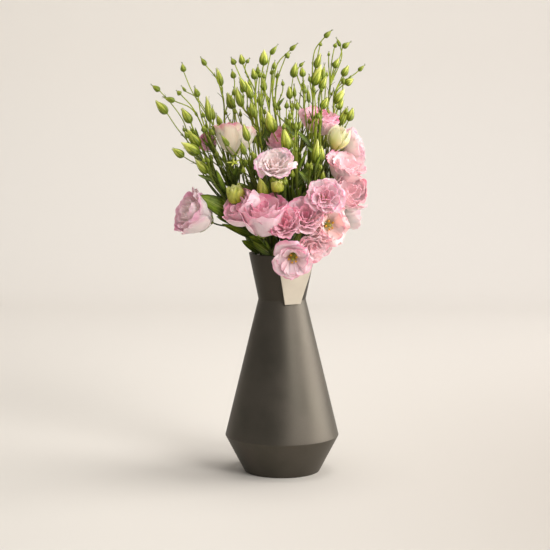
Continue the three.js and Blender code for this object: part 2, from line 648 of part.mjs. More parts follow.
// What a spray carries: its buds, and the receptacles of its blooms a gap below them
function burdens(row) {
  const flowers = BLOOMS.filter((item) => item.carrier === row.name).map((flower) => {
    const { foot, axis } = bloomFrame(flower);
    const height = RECEPTACLE.at(-1)[0] + GAP;
    const base = foot.clone().addScaledVector(axis, -height);
    return { fork: flower.fork, base, axis, via: [], crown: receptacleLine(base, axis), sides: 4 };
  });
  const buds = row.buds.map((spec) => {
    const seat = seenInSheet(row, spec.base);
    const root = spec.fork ? onStem(row, spec.fork).point : seat;
    const base = leaned(row, spec.base, root);
    const tip = base.clone().add(seenInSheet(row, spec.tip)).sub(seat);
    const axis = tip.clone().sub(base).normalize();
    const via = spec.via.map((place) => leaned(row, place, root));
    const sides = spec.girth > BUD.smallGirth ? 5 : 4;
    return { fork: spec.fork, base, axis, via, crown: budLine(base, tip, spec.girth), sides };
  });
  return [...flowers, ...buds];
}

// One spray: the stem runs on into what it carries at its end, and twigs carry the rest
function sprayBody(row) {
  const carried = burdens(row);
  const end = carried.find((item) => item.fork === 0);
  const bodies = [limb([...stemLine(row, end), ...end.crown], STEM.sides)];
  for (const item of carried.filter((other) => other.fork > 0)) {
    const { point, along } = onStem(row, item.fork);
    const line = twigLine(point, along, item.base, item.axis, item.via);
    bodies.push(limb([...line, ...item.crown], item.sides));
  }
  for (const spec of row.leaves) bodies.push(leafBody(row, spec));
  return fuse(bodies);
}

// Stamens round an ovary that carries a style
function heartBody(row) {
  const frame = bloomFrame(row);
  const up = (height) => frame.foot.clone().addScaledVector(frame.axis, height);
  const base = HUB.innerHeight + PETAL.thickness / 2 + GAP;
  const bodies = [limb(HEART.pistil.map(([share, radius]) => (
    { point: up(base + share * HEART.length), radius }
  )), 4)];
  for (let i = 0; i < HEART.stamens; i += 1) {
    const angle = (i / HEART.stamens) * 2 * Math.PI;
    const out = frame.across.clone().multiplyScalar(Math.cos(angle))
      .addScaledVector(frame.over, Math.sin(angle));
    bodies.push(limb(HEART.stamen.map(([share, off, radius]) => (
      { point: up(base + share * HEART.length).addScaledVector(out, off), radius }
    )), 3));
  }
  return fuse(bodies);
}

// Turned vase: outer profile up, over the rim and down inside to the floor
function vaseGeometry() {
  const wall = VASE.wall;
  const outline = [
    [0, 0],
    [VASE.footRadius, 0],
    [VASE.shoulderRadius, VASE.shoulderHeight],
    [VASE.waistRadius, VASE.waistHeight],
    [VASE.rimRadius, VASE.height],
    [VASE.rimRadius - wall, VASE.height],
    [VASE.waistRadius - wall, VASE.waistHeight],
    [VASE.shoulderRadius - VASE.shoulderInset, VASE.shoulderHeight],
    [VASE.footRadius - VASE.footInset, VASE.floor],
    [0, VASE.floor],
  ].map((pair) => new THREE.Vector2(...pair));
  return new THREE.LatheGeometry(outline, VASE.sides).rotateX(Math.PI / 2);
}

// Inner radius of the vase at a height below its waist
function innerRadius(z) {
  const shoulder = VASE.shoulderRadius - VASE.shoulderInset;
  if (z < VASE.shoulderHeight) {
    const foot = VASE.footRadius - VASE.footInset;
    return THREE.MathUtils.mapLinear(z, VASE.floor, VASE.shoulderHeight, foot, shoulder);
  }
  const waist = VASE.waistRadius - VASE.wall;
  return THREE.MathUtils.mapLinear(z, VASE.shoulderHeight, VASE.waistHeight, shoulder, waist);
}

// Water, with a plain hole for each stem that stands in it
function waterBody() {
  const flat = Math.cos(Math.PI / WATER.sides);
  const clear = (z) => (innerRadius(z) - WATER.inset) * flat;
  const bottom = VASE.floor + GAP;
  const outline = [
    [0, bottom],
    [clear(bottom), bottom],
    [clear(VASE.shoulderHeight), VASE.shoulderHeight],
    [clear(WATER.level), WATER.level],
    [0, WATER.level],
  ].map((pair) => new THREE.Vector2(...pair));
  const full = solidOf(new THREE.LatheGeometry(outline, WATER.sides).rotateX(Math.PI / 2));
  const holes = SPRAYS.map((row) => {
    const [x, y] = row.rim.map((value) => value * STEM_INSIDE.planAtWaist);
    const radius = (STEM.footRadius + WATER.holeClearance) / Math.cos(Math.PI / STEM.sides);
    const cylinder = new THREE.CylinderGeometry(radius, radius, VASE.height, STEM.sides);
    return solidOf(cylinder.rotateX(Math.PI / 2).translate(x, y, WATER.level / 2));
  });
  return full.subtract(fuse(holes));
}

// Flat plate in front of the neck, lying along its flare, with a strap hooked over the rim
function plateBody() {
  const flare = Math.atan((VASE.rimRadius - VASE.waistRadius) / (VASE.height - VASE.waistHeight));
  const shoulder = (VASE.shoulderRadius - VASE.waistRadius) / (VASE.waistHeight - VASE.shoulderHeight);
  const seat = VASE.waistRadius + (VASE.waistHeight - PLATE.bottomHeight) * shoulder + GAP + PLATE.slack;
  const height = (PLATE.topHeight - PLATE.bottomHeight) / Math.cos(flare);
  const outline = new THREE.Shape([
    new THREE.Vector2(-PLATE.bottomWidth / 2, 0),
    new THREE.Vector2(PLATE.bottomWidth / 2, 0),
    new THREE.Vector2(PLATE.topWidth / 2, height),
    new THREE.Vector2(-PLATE.topWidth / 2, height),
  ]);
  const sheet = new THREE.ExtrudeGeometry(outline, { depth: PLATE.thickness, bevelEnabled: false });
  sheet.rotateX(Math.PI / 2 + flare);
  const atRim = seat + (VASE.height - PLATE.bottomHeight) * Math.tan(flare);
  const atStart = seat + (PLATE.strapStart - PLATE.bottomHeight) * Math.tan(flare) + PLATE.slack;
  const over = VASE.height + GAP + PLATE.slack;
  const mouth = (VASE.rimRadius - VASE.wall) * Math.cos(Math.PI / VASE.sides);
  const inner = Math.sqrt(mouth ** 2 - (PLATE.strapWidth / 2) ** 2) - GAP - PLATE.slack;
  const thick = PLATE.strapThickness;
  const hook = new THREE.Shape([
    new THREE.Vector2(atStart, PLATE.strapStart),
    new THREE.Vector2(atStart + thick, PLATE.strapStart),
    new THREE.Vector2(atRim + thick, over + thick),
    new THREE.Vector2(inner - thick, over + thick),
    new THREE.Vector2(inner - thick - PLATE.hookLean, over - PLATE.hookDrop),
    new THREE.Vector2(inner - PLATE.hookLean, over - PLATE.hookDrop),
    new THREE.Vector2(inner, over),
    new THREE.Vector2(atRim, over),
  ]);
  const strap = new THREE.ExtrudeGeometry(hook, { depth: PLATE.strapWidth, bevelEnabled: false });
  strap.translate(0, 0, -PLATE.strapWidth / 2).rotateX(Math.PI / 2);
  strap.rotateZ(-Math.PI / 2);
  const body = fuse([
    solidOf(sheet.translate(0, -seat, PLATE.bottomHeight)),
    solidOf(strap),
  ]);
  return body.rotate([0, 0, PLATE.azimuth]);
}

function finish(colour, roughness, metalness, opacity = 1) {
  return new THREE.MeshStandardMaterial({
    color: colour, roughness, metalness, opacity, transparent: opacity < 1,
  });
}

const materials = {
  metal: finish(COLOURS.metal, 0.5, 0.6),
  plate: finish(COLOURS.plate, 0.45, 0.3),
  water: finish(COLOURS.water, 0.05, 0, 0.35),
  green: finish(COLOURS.green, 0.55, 0),
  pink: finish(COLOURS.pink, 0.6, 0),
  cream: finish(COLOURS.cream, 0.6, 0),
  yellow: finish(COLOURS.yellow, 0.7, 0),
};

const bouquet = new THREE.Group();
bouquet.add(meshOf('vase', solidOf(vaseGeometry()), materials.metal));
bouquet.add(meshOf('neck_plate', plateBody(), materials.plate));
bouquet.add(meshOf('water', waterBody(), materials.water));
for (const row of SPRAYS) {
  bouquet.add(meshOf(`spray_${row.name}`, sprayBody(row), materials.green));
}
for (const row of BLOOMS) {
  const material = row.name === 'cream_right' ? materials.cream : materials.pink;
  bouquet.add(meshOf(`bloom_${row.name}`, bloomBody(row), material));
}
for (const name of HEARTS) {
  const row = BLOOMS.find((item) => item.name === name);
  bouquet.add(meshOf(`heart_${name}`, heartBody(row), materials.yellow));
}

export default bouquet;
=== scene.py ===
"""A bunch of cut lisianthus in its dark metal vase, dressed on its solid model.

Lengths in this file are millimetres, and they become metres when a mesh is made. The origin is
the middle of the vase's foot, +Z is up and the front of the bunch faces -Y.
"""

import sys

import json
import logging
import math
from collections.abc import Callable, Sequence
from dataclasses import dataclass
from enum import Enum, IntEnum
from functools import partial
from zlib import crc32

import bpy
import numpy as np
from mathutils import Matrix, Vector

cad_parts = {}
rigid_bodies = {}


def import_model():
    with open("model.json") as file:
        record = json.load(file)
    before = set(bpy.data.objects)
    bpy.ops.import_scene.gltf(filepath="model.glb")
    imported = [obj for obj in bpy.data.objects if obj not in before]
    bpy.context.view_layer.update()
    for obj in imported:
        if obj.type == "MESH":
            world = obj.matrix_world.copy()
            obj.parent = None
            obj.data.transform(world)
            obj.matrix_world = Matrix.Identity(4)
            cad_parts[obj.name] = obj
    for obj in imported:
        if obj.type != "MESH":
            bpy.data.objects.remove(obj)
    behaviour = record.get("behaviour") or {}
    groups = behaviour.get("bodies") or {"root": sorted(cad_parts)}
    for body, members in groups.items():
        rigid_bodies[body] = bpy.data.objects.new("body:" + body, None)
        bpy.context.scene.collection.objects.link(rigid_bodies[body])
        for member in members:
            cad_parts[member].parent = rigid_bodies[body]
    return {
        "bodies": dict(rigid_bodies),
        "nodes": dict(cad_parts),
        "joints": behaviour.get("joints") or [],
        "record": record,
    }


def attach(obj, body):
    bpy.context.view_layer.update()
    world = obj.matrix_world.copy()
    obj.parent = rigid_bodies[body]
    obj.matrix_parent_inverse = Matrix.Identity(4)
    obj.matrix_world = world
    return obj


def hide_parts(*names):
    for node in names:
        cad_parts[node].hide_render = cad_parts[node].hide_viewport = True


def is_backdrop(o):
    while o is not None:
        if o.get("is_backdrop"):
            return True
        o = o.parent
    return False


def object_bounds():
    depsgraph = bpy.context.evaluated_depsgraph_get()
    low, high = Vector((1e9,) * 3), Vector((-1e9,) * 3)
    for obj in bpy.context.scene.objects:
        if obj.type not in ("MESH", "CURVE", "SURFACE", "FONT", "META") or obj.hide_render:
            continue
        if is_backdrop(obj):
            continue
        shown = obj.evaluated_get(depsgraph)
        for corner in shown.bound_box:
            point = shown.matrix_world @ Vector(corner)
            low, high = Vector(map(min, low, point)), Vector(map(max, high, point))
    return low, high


LOG = logging.getLogger("lisianthus")
METRES = 0.001
ROOT = "root"
FULL_TURN = 2 * math.pi
SPIRAL_TURN = math.radians(137.5)

Array = np.ndarray
Body = bpy.types.Object
Material = bpy.types.Material
Node = bpy.types.Node
Tree = bpy.types.NodeTree
Socket = bpy.types.NodeSocket
Outputs = bpy.types.NodeOutputs
Place = Sequence[float]
Range = tuple[float, float]
Pair = tuple[int, int]
Colour = tuple[int, int, int]


class Kind(Enum):
    """How far a bloom has opened."""

    OPEN = "open"
    DOUBLE = "double"
    GOBLET = "goblet"
    BOWL = "bowl"
    FULL = "full"
    CLOSED = "closed"


class Tone(Enum):
    """Colouring of a bloom."""

    PINK = "pink"
    PALE = "pale"
    DEEP = "deep"
    ROSE = "rose"
    PEACH = "peach"
    CREAM = "cream"
    BLUSH = "blush"
    MAUVE = "mauve"


class Mark(Enum):
    """Values that a mesh carries at its points, for its materials to read."""

    ALONG = "along"
    ACROSS = "across"
    TINT = "tint"
    # Share of the heart colour on inner petals: painted shade deep in the bloom.
    DEPTH = "depth"
    UNDER = "under"


class Green(IntEnum):
    """Materials of a green spray, by their order on its mesh."""

    STALK = 0
    BLADE = 1
    SEPAL = 2
    COROLLA = 3


Marks = dict[Mark, Array | float]


# Geometry helpers
def unit(vectors: Array) -> Array:
    """Scale the vectors in an array's last axis to length one."""
    return vectors / np.maximum(np.linalg.norm(vectors, axis=-1, keepdims=True), 1e-9)


def ease(low: float, high: float, value: Array) -> Array:
    """Climb smoothly from 0 at low to 1 at high."""
    share = np.clip((value - low) / (high - low), 0, 1)
    return share * share * (3 - 2 * share)


def lattice(rows: int, columns: int) -> tuple[Array, Array]:
    """Spread rows from 0 at the foot to 1 at the tip, and columns from -1 to 1 across."""
    return np.linspace(0, 1, rows)[:, None], np.linspace(-1, 1, columns)[None, :]


def turns(sides: int) -> Array:
    """Spread turns evenly round an axis."""
    return np.linspace(0, FULL_TURN, sides, endpoint=False)


def around(knots: Array, shares: Array) -> tuple[Array, list[Array]]:
    """Find the knots round each place along a curve.

    Args:
        knots: Points or values that the curve passes, one row each.
        shares: Places along the curve, from 0 to 1.

    Returns:
        How far each place is past the knot before it, and the two knots on either side of it.
    """
    ends = np.vstack([2 * knots[0] - knots[1], knots, 2 * knots[-1] - knots[-2]])
    place = np.clip(shares, 0, 1) * (len(knots) - 1)
    cell = np.minimum(place.astype(int), len(knots) - 2)
    return (place - cell)[..., None], [ends[cell + step] for step in range(4)]


def glide(knots: Array, shares: Array) -> Array:
    """Read a smooth curve through evenly spaced knots.

    Args:
        knots: Values at the knots, one row each.
        shares: Places along the knots, from 0 to 1.

    Returns:
        The values at those places, in an extra last axis.
    """
    t, (a, b, c, d) = around(knots, shares)
    return b + 0.5 * t * (c - a + t * (2 * a - 5 * b + 4 * c - d + t * (3 * b - 3 * c + d - a)))


def spline(points: Array, shares: Array) -> Array:
    """Read a centripetal curve, which doesn't loop where points lie close together.

    Args:
        points: The points that the curve passes, one row each.
        shares: Places along the curve, from 0 to 1.

    Returns:
        Points on the curve.
    """
    t, (a, b, c, d) = around(points, shares)
    before, within, after = (
        np.sqrt(np.maximum(np.linalg.norm(high - low, axis=1, keepdims=True), 1e-6))
        for low, high in ((a, b), (b, c), (c, d))
    )
    start = ((b - a) / before - (c - a) / (before + within) + (c - b) / within) * within
    end = ((c - b) / within - (d - b) / (within + after) + (d - c) / after) * within
    bent = (3 * c - 3 * b - 2 * start - end) + (2 * b - 2 * c + start + end) * t
    return b + start * t + bent * t * t


def run_of(line: Array) -> Array:
    """Measure how far along a line each of its points is."""
    return np.concatenate([[0], np.cumsum(np.linalg.norm(np.diff(line, axis=0), axis=1))])


def even_line(points: Array, step: float, fineness: int = 40) -> Array:
    """Space points evenly along a smooth curve.

    Args:
        points: The points that the curve passes.
        step: Distance between the points that come back.
        fineness: Points for each of the given ones, from which the curve is measured.

    Returns:
        Points along the curve, both ends included.
    """
    fine = spline(points, np.linspace(0, 1, fineness * len(points)))
    run = run_of(fine)
    stops = np.linspace(0, run[-1], max(int(run[-1] / step), 3) + 1)
    return np.stack([np.interp(stops, run, fine[:, axis]) for axis in range(3)], axis=1)


def point_and_way(line: Array, place: int) -> tuple[Array, Array]:
    """Give a point of a line, which is not an end, and the line's direction there."""
    place = min(max(place, 1), len(line) - 2)
    return line[place], unit(line[place + 1] - line[place - 1])


@dataclass(frozen=True)
class Frame:
    """A foot, an axis that rises from it and two directions square to the axis."""

    foot: Array
    axis: Array
    across: Array
    over: Array

    @classmethod
    def on(cls, foot: Array, axis: Array) -> "Frame":
        """Stand a frame on a foot.

        Args:
            foot: Where it stands.
            axis: Its axis, of length one.

        Returns:
            The frame.
        """
        steep = 0.9
        hint = np.array([0.0, 0, 1]) if abs(axis[2]) < steep else np.array([0.0, -1, 0])
        across = unit(np.cross(axis, hint))
        return cls(foot, axis, across, unit(np.cross(axis, across)))

    def spoke(self, turn: Array | float) -> Array:
        """Point away from the axis at a turn round it."""
        turn = np.asarray(turn)[..., None]
        return np.cos(turn) * self.across + np.sin(turn) * self.over

    def place(self, out: Array, rise: Array, turn: Array) -> Array:
        """Place points by distance from the axis, height along it and turn round it."""
        out, rise, turn = np.broadcast_arrays(out, rise, turn)
        return self.foot + self.axis * rise[..., None] + self.spoke(turn) * out[..., None]


@dataclass(frozen=True)
class Eye:
    """The long lens in front of the vase that every place in the layout was read from."""

    position: tuple[float, float, float] = (-11.17, -2654.0, 629.0)
    pitch: float = math.radians(6.76)
    focal: float = 1688.0
    centre: float = 275.0
    sensor: float = 36.0
    frame_width: float = 550.0
    reach: float = 50000.0

    def seen(self, at: Place, y: float) -> Array:
        """Find the point of the bunch at a picture place and a depth.

        Args:
            at: Place across and down, in pixels.
            y: Depth of the point.

        Returns:
            The point.
        """
        u = (at[0] - self.centre) / self.focal
        v = (self.centre - at[1]) / self.focal
        away = y - self.position[1]
        sine, cosine = math.sin(self.pitch), math.cos(self.pitch)
        rise = away * (v * cosine - sine) / (cosine + v * sine)
        depth = away * cosine - rise * sine
        return np.array([self.position[0] + u * depth, y, self.position[2] + rise])

    def nearest(self, line: Array, down: float) -> int:
        """Find the point of a line that is seen nearest to a height down the picture.

        Args:
            line: Points of the line.
            down: The height, in pixels.

        Returns:
            The point's number.
        """
        away = line - np.array(self.position)
        sine, cosine = math.sin(self.pitch), math.cos(self.pitch)
        depth = away[..., 1] * cosine - away[..., 2] * sine
        rise = away[..., 1] * sine + away[..., 2] * cosine
        return int(np.argmin(np.abs(self.centre - self.focal * rise / depth - down)))

    def set_camera(self) -> None:
        """Set the scene's camera at the eye."""
        lens = bpy.data.cameras.new("eye")
        lens.sensor_width = self.sensor
        lens.lens = self.focal * self.sensor / self.frame_width
        lens.clip_end = self.reach * METRES
        camera = bpy.data.objects.new("eye", lens)
        camera.location = Vector(self.position) * METRES
        camera.rotation_euler = (math.pi / 2 - self.pitch, 0, 0)
        bpy.context.scene.collection.objects.link(camera)
        bpy.context.scene.camera = camera


EYE = Eye()


# Layout of the bunch: places are picture pixels, sizes and depths are millimetres
@dataclass(frozen=True)
class Bud:
    """A closed bud, its twig and where the twig leaves its stem."""

    tip: Place
    base: Place
    girth: float
    fork: float
    via: Sequence[Place] = ()
    plump: bool = False


@dataclass(frozen=True)
class Leaf:
    """A large leaf at a height on its stem."""

    at: float
    side: int
    length: float
    width: float
    droop: float = 0.0


@dataclass(frozen=True)
class Spray:
    """A cut stem: its place at the rim, the depth of its top, its line and what it carries."""

    name: str
    rim: Place
    top: float
    stem: Sequence[Place]
    buds: Sequence[Bud]
    leaves: Sequence[Leaf]
    star: Bud | None = None


@dataclass(frozen=True)
class Bloom:
    """A flower head: its place, depth, size, axis and the stem that carries it."""

    name: str
    kind: Kind
    tone: Tone
    at: Place
    y: float
    radius: float
    length: float
    axis: Place
    carrier: str
    fork: float
    fullness: float = 1.0
    ruffle: float = 1.0
    foot_share: float = 0.55

    def middle(self) -> Array:
        """Give the bloom's middle."""
        return EYE.seen(self.at, self.y)

    def frame(self) -> Frame:
        """Stand a frame on the bloom's foot."""
        axis = unit(np.array(self.axis, float))
        return Frame.on(self.middle() - axis * self.length * self.foot_share, axis)


SPRAYS = [
    Spray("near_left", [-17, -35], -75, [[263, 236], [260, 226], [257, 217]], [],
        [Leaf(243, -1, 26, 14, 0.3), Leaf(256, 1, 30, 16), Leaf(255, -1, 34, 20, 0.05)]),
    Spray("near_middle", [0, -37], -85, [[281, 235], [280, 210], [279, 190], [279, 183]],
        [Bud([277, 180], [278, 193], 17, 214, (), True)],
        []),
    Spray("near_right", [17, -35], -80, [[299, 236], [307, 220], [316, 206], [320, 201]], [],
        [Leaf(232, 1, 30, 11, 0.2)]),
    Spray("front_far_left", [-33, -17], -45, [[243, 218], [226, 192], [211, 173], [203, 161]],
        [Bud([180, 141.5], [199, 154], 15, 0), Bud([170.5, 147], [184, 156.5], 11, 178),
            Bud([193.5, 157], [208, 173], 12, 190)],
        [Leaf(220, -1, 74, 38, 0.0), Leaf(237, -1, 50, 14, 0.22), Leaf(252, -1, 32, 17, 0.1),
            Leaf(184, -1, 32, 8, 0.1)]),
    Spray("front_left", [-11, -19], -85, [[264, 215], [254, 180], [248, 163]],
        [Bud([240, 138], [245, 155], 8, 0), Bud([219, 132], [229, 146], 7, 178),
            Bud([250, 147], [257, 163], 8, 188), Bud([242.3, 121], [248.5, 141], 10, 172),
            Bud([233, 184], [239, 204], 24, 226, (), True),
            Bud([259, 176], [265, 199], 17, 236, [[270, 214]])],
        [Leaf(212, 1, 40, 13), Leaf(196, -1, 36, 11), Leaf(250, -1, 34, 20, 0.0)],
        Bud([232, 157], [234, 163], 12, 186)),
    Spray("front_right", [11, -19], -52, [[295, 215], [297, 180], [297, 150], [296, 125]],
        [Bud([297, 99], [297, 110], 6, 0), Bud([282.5, 125], [288, 150], 15, 178),
            Bud([302, 118], [298, 130], 6, 142)],
        [Leaf(206, 1, 44, 14), Leaf(184, 1, 46, 19), Leaf(137, -1, 26, 9)]),
    Spray("front_far_right", [33, -17], -52, [[309, 215], [314, 188], [315, 172]],
        [Bud([318, 136], [315, 163], 12, 0), Bud([322, 144], [321, 161], 10, 180),
            Bud([324, 168], [322, 182], 8, 200)],
        [Leaf(204, 1, 34, 12), Leaf(190, -1, 36, 12)]),
    Spray("middle_far_left", [-42, 0], -6, [[240, 220], [222, 190], [207, 160], [196, 135], [192, 126]],
        [Bud([180, 106], [191, 123], 12, 0), Bud([154, 98.5], [167.5, 113.5], 12, 166, [[178, 129]]),
            Bud([186.5, 128], [200, 146], 13, 172)],
        [Leaf(226, -1, 40, 14, 0.3), Leaf(200, 1, 38, 12), Leaf(176, -1, 30, 8)]),
    Spray("middle_left", [-25, 0], -6, [[250, 215], [228, 182], [214, 155], [210, 135], [210, 127]],
        [Bud([206, 92.5], [210, 122], 10, 0), Bud([212, 104], [213.5, 120], 7, 138),
            Bud([215.5, 112], [221, 126], 8, 148), Bud([194, 85], [198.5, 97], 8, 146, [[201, 114]]),
            Bud([162, 97], [175, 101], 8, 156, [[193, 110]]),
            Bud([176, 90], [181, 94.5], 7, 150, [[193, 108]]),
            Bud([201.5, 110], [204.5, 117.5], 5, 138)],
        [Leaf(204, -1, 34, 11), Leaf(186, 1, 32, 10), Leaf(252, -1, 32, 20, 0.0)]),
    Spray("middle_inner_left", [-8, 0], -6, [[270, 210], [264, 175], [260, 140], [250, 117], [246, 112]],
        [Bud([235, 84], [242, 107], 11, 0), Bud([238.5, 74], [246, 92], 9, 116),
            Bud([244.5, 78], [251.5, 99], 10, 122), Bud([250, 97], [252.5, 117], 7, 138),
            Bud([254, 101], [255.5, 119], 7, 146), Bud([259, 90], [261, 107], 5, 146),
            Bud([239.5, 81], [243, 93], 5, 112)],
        [Leaf(200, 1, 42, 13), Leaf(180, -1, 34, 10), Leaf(150, 1, 44, 13, -0.7)]),
    Spray("middle_inner_right", [8, 0], -6, [[288, 210], [294, 172], [295, 140], [292, 115], [290.5, 104]],
        [Bud([289, 84], [290, 99], 9, 0), Bud([267, 109.5], [273.5, 132.5], 17, 172),
            Bud([274, 96], [275, 108], 6, 136), Bud([294, 83], [295, 97], 5, 120)],
        [Leaf(198, -1, 38, 12), Leaf(137, -1, 32, 14, -0.8)]),
    Spray("middle_right", [25, 0], -6, [[305, 210], [310, 170], [312, 130], [313, 100], [313.5, 90]],
        [Bud([321.5, 63], [313.5, 85.5], 14, 0),
            Bud([333, 29], [324.5, 37.5], 7, 108, [[313, 60], [316, 48]]),
            Bud([321.5, 41], [320, 46], 5, 96, [[317, 60]]), Bud([321.5, 51], [315.5, 68], 9, 100),
            Bud([309, 73.5], [310, 82], 5, 106)],
        [Leaf(196, -1, 36, 12), Leaf(146, -1, 34, 9), Leaf(174, 1, 34, 10)]),
    Spray("middle_far_right", [42, 0], -6, [[320, 212], [322, 175], [320, 140], [320, 116]],
        [Bud([328.5, 95.5], [321.5, 109], 10, 0), Bud([327, 74], [320.5, 89.5], 10, 122),
            Bud([325, 62], [322, 80], 7, 112)],
        [Leaf(214, 1, 36, 13), Leaf(160, -1, 30, 9)]),
    Spray("back_far_left", [-32, 18], 42, [[243, 215], [231, 170], [225, 130], [224, 105], [222.5, 94]],
        [Bud([216, 65], [221.5, 86], 9, 0), Bud([200, 56], [206, 65.5], 7, 98, [[217, 79]]),
            Bud([182, 61.5], [184, 72], 8, 150, [[205, 112], [192, 91]]),
            Bud([226.5, 90], [232.5, 109], 12, 150),
            Bud([231.5, 68.5], [234, 78.5], 8, 120),
            Bud([150.5, 84], [160, 91], 8, 178, [[192, 142], [183, 120], [171, 103]]),
            Bud([181, 85], [186, 91.5], 4, 152, [[197, 98]])],
        [Leaf(205, -1, 40, 13), Leaf(180, 1, 38, 12), Leaf(140, -1, 30, 9)]),
    Spray("back_left", [-11, 18], 42, [[266, 210], [260, 165], [257, 120], [255.5, 96], [255.5, 86]],
        [Bud([252.5, 66.5], [255, 79.5], 9, 0), Bud([230.5, 56.5], [235, 64.5], 8, 112, [[240, 76]]),
            Bud([240.5, 52.5], [243, 64.5], 9, 106, [[250, 82]]), Bud([250, 57.5], [246.5, 63], 5, 96),
            Bud([258, 63.5], [257.5, 74], 6, 94)],
        [Leaf(198, -1, 36, 12), Leaf(140, 1, 36, 11)]),
    Spray("back_right", [11, 18], 42, [[285, 210], [284, 165], [277, 125], [272.5, 95], [272.5, 80]],
        [Bud([275, 59.5], [273.5, 69], 6, 0), Bud([298.5, 42.5], [290, 50.5], 6, 90, [[278, 63]]),
            Bud([291, 52.5], [285.5, 57], 8, 110, [[277.5, 80]]),
            Bud([282.5, 79], [283, 86], 5, 116)],
        [Leaf(200, -1, 36, 12), Leaf(112, 1, 24, 6)]),
    Spray("back_far_right", [32, 18], 42, [[316, 222], [326, 195], [331, 172], [330, 160]], [],
        [Leaf(220, 1, 36, 12), Leaf(188, -1, 30, 9)]),
    Spray("far_left", [-17, 34], 85, [[271, 205], [266, 160], [262, 115], [261.5, 85], [262, 73]],
        [Bud([264, 48.5], [263.5, 65.5], 13, 0), Bud([278.5, 43.5], [270.5, 54.5], 7, 104, [[266, 76]]),
            Bud([262.5, 76], [264.5, 91], 9, 112)],
        [Leaf(204, 1, 40, 13), Leaf(150, -1, 34, 10)]),
    Spray("far_middle", [0, 36], 85, [[291, 205], [299, 160], [303, 120], [304, 96], [303.5, 86]],
        [Bud([301.5, 65.5], [303, 77], 9, 0), Bud([296.5, 60.5], [293, 77.5], 11, 112, [[292, 92]]),
            Bud([305, 61], [299.5, 66.5], 5, 100), Bud([303.5, 80], [305, 94], 7, 116),
            Bud([307.5, 85], [309, 103], 6, 126)],
        [Leaf(200, -1, 40, 13), Leaf(146, 1, 32, 10)]),
    Spray("far_right", [17, 34], 100, [[305, 205], [318, 160], [326, 120], [329, 95], [331, 80]],
        [Bud([339.5, 57], [334, 68], 9, 0), Bud([337, 41.5], [334.5, 47.5], 6, 92, [[332, 60]]),
            Bud([336, 36.5], [340.5, 46.5], 5, 86, [[342, 56]]),
            Bud([352, 41], [342.5, 47.5], 8, 82, [[341, 54]]),
            Bud([329, 51], [328.7, 56], 4, 92)],
        [Leaf(196, 1, 38, 12), Leaf(150, 1, 30, 9)]),
    Spray("far_outer_right", [32, 27], 105, [[318, 205], [331, 165], [335, 130], [334, 110], [334, 96]],
        [Bud([349.5, 64], [342.5, 76], 10, 0), Bud([366, 64], [358.5, 71], 6, 96),
            Bud([355, 78], [345, 84], 11, 104), Bud([345, 88], [335, 103.5], 13, 122),
            Bud([344, 98], [338, 109.5], 9, 124), Bud([348, 105], [340.5, 125], 12, 142),
            Bud([354, 106], [348.5, 121], 11, 146)],
        [Leaf(190, 1, 36, 12)]),
]

